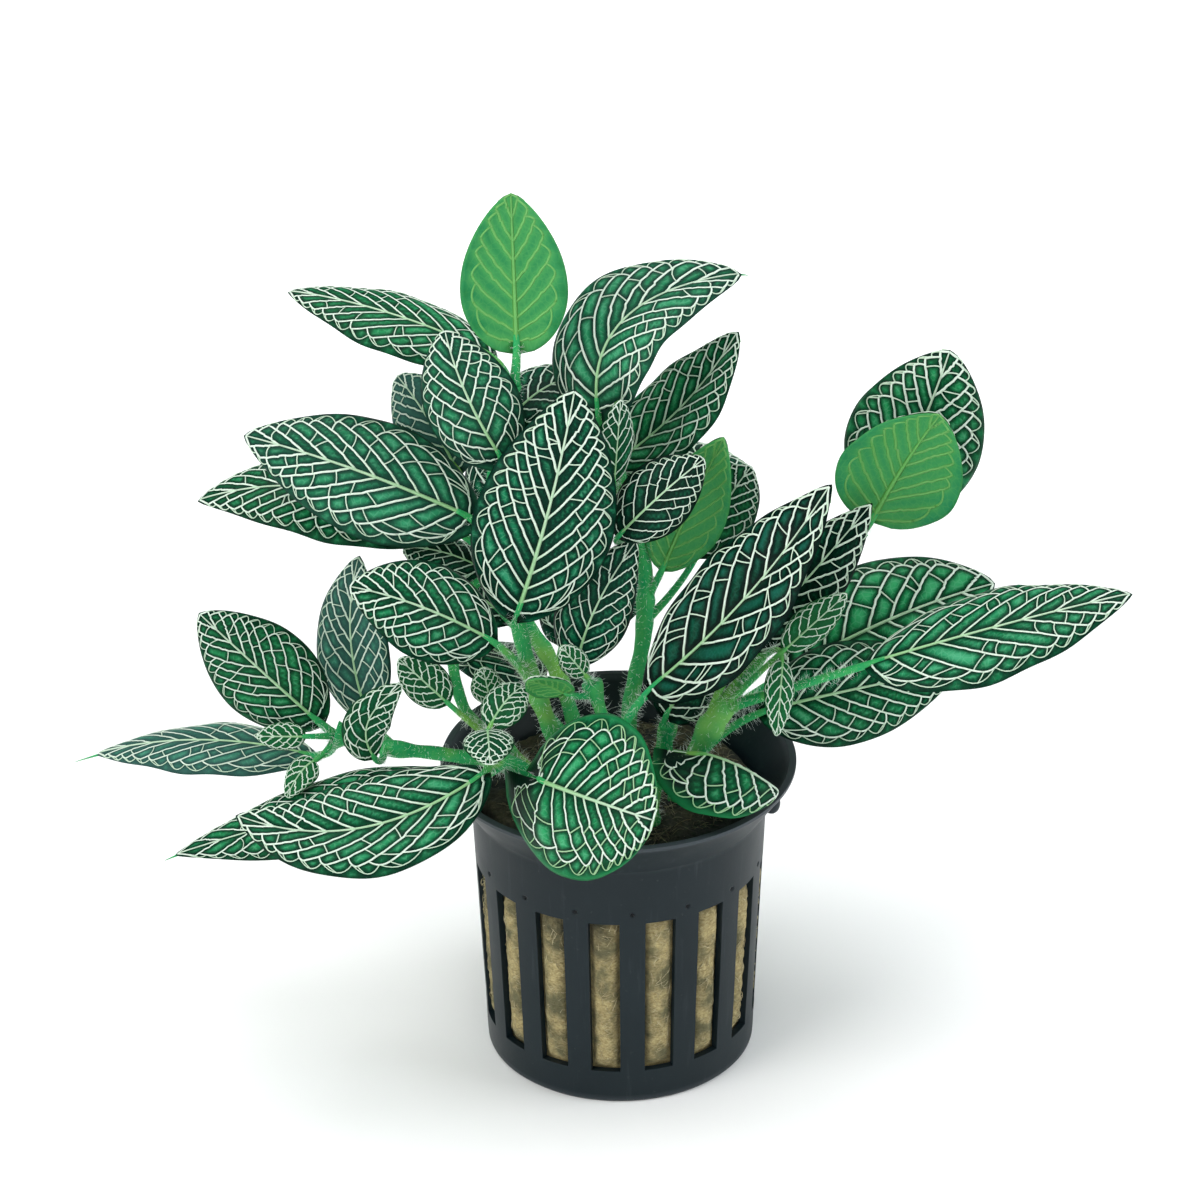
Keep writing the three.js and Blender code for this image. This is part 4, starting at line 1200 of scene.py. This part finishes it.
def addPegs(heap):
    # rounded eggs on the crease below the collar, turned to stand square to the wall
    radius, halfHeight = potLook["pegSize"]
    turn, rise = np.meshgrid(np.linspace(0, 2 * np.pi, 24, endpoint=False), np.linspace(-1.5, 1.5, 15))
    swell = radius * np.sign(np.cos(rise)) * np.abs(np.cos(rise)) ** 0.8
    for degrees in potLook["pegs"]:
        around = turn + math.radians(degrees)
        egg = np.stack([swell * np.cos(around), swell * np.sin(around), halfHeight * np.sin(rise)], axis=-1)
        egg = egg + atAngle(potLook["bodyTopRadius"] + 0.9, degrees, potLook["pegHeight"])
        heap.addTubes(egg, worn=0.15, pit=0)


def makePot():
    heap = Heap()
    addWall(heap)
    addPotFloor(heap)
    addPegs(heap)
    pot = heap.finish("net_pot_shell", [potPlastic], "pot_plastic", "net_pot")
    bevel = pot.modifiers.new("softEdges", "BEVEL")
    bevel.width = potLook["edgeRadius"] * mm
    bevel.segments = 2
    bevel.limit_method = "ANGLE"
    bevel.angle_limit = math.radians(50)
    bevel.harden_normals = True
    pot.data.set_sharp_from_angle(angle=math.radians(50))
    print("pot made")


makePot()

# ---- the mineral wool ----

woolLook = {
    "gap": 0.35,
    "foot": 1.75,
    "top": 45.5,
    "shoulder": 2.5,
    "shoulderInset": 1.2,
    "bulge": 1.25,  # how far it swells out through a slot
    "lumps": 0.9,
    "fuzz": 0.22,
    "damp": (29, 13, 0.88, 0.08),  # darker towards the top with damp, algae and painted shade: it starts at this height, is full so far above, most and least
    "darkerPlace": (-18.0, 15.0, 0.5),  # a darker place: middle and reach in degrees, strength
    "darkerPlaceHeights": (24, 7),  # and where it starts and is full
    "sideFibres": 70,  # to each slot
    "sideLengths": (0.8, 2.6),
    "topFibres": 2600,
    "topLengths": (1.0, 3.6),
    "fibreRadius": 0.055,
}


def slotShare(degrees, z):
    # 1 in the middle of a slot, falling smoothly to 0 at its sides and ends
    look = potLook
    pitch = 360 / look["slots"]
    away = np.abs((degrees - look["firstSlot"] + pitch / 2) % pitch - pitch / 2)
    low, high = look["slotHeights"]
    across = np.clip(1 - (away / (halfSlot() - 0.5)) ** 2, 0, 1) ** 0.5
    upright = np.clip((z - low - 0.3) / 2.0, 0, 1) * np.clip((high - 0.3 - z) / 2.0, 0, 1)
    return across * np.sqrt(upright)


def woolSide(degrees, z):
    # radius: the straight taper of the pot's wall less wall and gap, plus the swelling in the slots
    look = woolLook
    share = (z - potLook["floor"]) / (potLook["height"] - potLook["collarHeight"] - potLook["floor"])
    outer = potLook["bodyFootRadius"] + share * (potLook["bodyTopRadius"] - potLook["bodyFootRadius"])
    radius = outer - potLook["wall"] - look["gap"]
    return radius + look["bulge"] * slotShare(degrees, z)


def makeWool():
    look = woolLook
    heap = Heap()
    degrees = np.arange(0, 360, 0.8)
    z = np.linspace(look["foot"], look["top"] - look["shoulder"], 86)[:, None]
    side = woolSide(degrees, z)
    points = atAngle(side, degrees, z)
    rough = softNoise(points, 0.9, 1) * 0.6 + softNoise(points, 0.42, 2) * 0.4
    fuzz = look["fuzz"] * rough + 0.2 * softNoise(points, 3.0, 3) * slotShare(degrees, z)
    points = points + atAngle(1.0, degrees, 0.0) * fuzz[..., None]
    # over the shoulder and in to the middle: radius falls while height rises, then lumps and fuzz
    t = np.linspace(0, 1, 12)[1:, None] * np.pi / 2
    edge = side[-1:].mean()
    shoulderRadius = edge - look["shoulderInset"] * (1 - np.cos(t))
    shoulderHeight = look["top"] - look["shoulder"] + look["shoulder"] * np.sin(t)
    inward = np.linspace(1, 0.02, 46)[1:, None] * (edge - look["shoulderInset"])
    radius = np.vstack([shoulderRadius, inward])
    height = np.vstack([shoulderHeight, np.full_like(inward, look["top"])])
    cap = atAngle(radius, degrees, height)
    fade = np.clip(np.linspace(0, 6, len(radius)), 0, 1)[:, None]
    small = 0.45 * softNoise(cap, 1.5, 5) + 0.22 * softNoise(cap, 0.6, 6)
    cap[..., 2] += fade * (look["lumps"] * softNoise(cap, 4.5, 4) + small - 0.35)
    cap[..., :2] *= 1 + 0.006 * (1 - fade)[..., None] * softNoise(cap, 1.2, 7)[..., None]
    whole = np.concatenate([points, cap])
    # darker towards the top: damp and algae, and painted shade inside the pot and under the slots' top edges
    start, reach, most, least = look["damp"]
    damp = np.clip((whole[..., 2] - start) / reach, 0, 1) * most + least
    middle, reach, strength = look["darkerPlace"]
    darkerPlace = strength * np.exp(-(((degrees + 180) % 360 - 180 - middle) / reach) ** 2)
    start, reach = look["darkerPlaceHeights"]
    damp = damp + darkerPlace * np.clip((whole[..., 2] - start) / reach, 0, 1)
    damp = np.clip(damp + 0.12 * softNoise(whole, 5.0, 8), 0, 1)
    heap.addTubes(whole, damp=damp.ravel())
    heap.finish("wool_plug_felt", [mineralWool], "mineral_wool", "wool_plug")
    makeFibres()
    print("wool made")


def addThreads(heap, roots, knees, tips, dampest, random):
    # loose threads of uneven thickness, each with its own share of damp and painted shade
    count, rings = len(roots), 5
    radius = woolLook["fibreRadius"] * random.uniform(0.6, 1.3, count)
    damp = np.repeat(random.uniform(*dampest, count), rings * 3)
    heap.addTubes(strands(roots, knees, tips, radius, rings, 0.6), damp=damp)


def makeFibres():
    # threads lie tangled over the top, and across the swelling in every slot
    look, random = woolLook, np.random.default_rng(11)
    heap = Heap()
    count = look["topFibres"]
    radius, turn = 19.0 * np.sqrt(random.random(count)), random.uniform(0, 360, count)
    roots = atAngle(radius, turn, look["top"] + random.uniform(-0.7, 0.3, count))
    heading = random.uniform(0, 2 * np.pi, count)
    length = random.uniform(*look["topLengths"], count)
    run = np.stack([np.cos(heading), np.sin(heading), random.uniform(-0.10, 0.22, count)], axis=-1)
    tips = roots + run * length[:, None]
    knees = (roots + tips) / 2 + random.normal(0, 0.35, (count, 3)) + [0, 0, 0.35]
    outside = np.linalg.norm(tips[:, :2], axis=1) > 20.2
    tips[outside] = roots[outside] + (tips - roots)[outside] * -0.8
    addThreads(heap, roots, knees, tips, (0.5, 1), random)
    total = look["sideFibres"] * potLook["slots"]
    centre = potLook["firstSlot"] + 360 / potLook["slots"] * (np.arange(total) % potLook["slots"])
    low, high = potLook["slotHeights"]
    angles = centre + random.uniform(-4.2, 4.2, total)
    heights = random.uniform(low + 1, high - 1, total)
    slope = random.normal(0, 0.9, total)
    length = random.uniform(*look["sideLengths"], total)
    ends = np.clip(angles + np.degrees(np.cos(slope) * length / 21.5), centre - 5.4, centre + 5.4)
    rises = np.clip(heights + np.sin(slope) * length, low + 0.6, high - 0.6)
    first = atAngle(woolSide(angles, heights) + 0.02, angles, heights)
    last = atAngle(woolSide(ends, rises) + 0.05, ends, rises)
    middle = (first + last) / 2
    middle += unit(middle * [1, 1, 0]) * random.uniform(0.1, 0.5, (total, 1))
    addThreads(heap, first, middle, last, (0, 0.25), random)
    heap.finish("wool_plug_threads", [woolFibre], "mineral_wool", "wool_plug")


makeWool()

# ---- the floor ----


def makeFloor():
    reach = floorLook["reach"]
    points = np.array([(-1, -1, 0), (1, -1, 0), (1, 1, 0), (-1, 1, 0)]) * reach
    addPiece("floor", points, [(np.array([[0, 1, 2, 3]]), 0)], [paleFloor])


makeFloor()
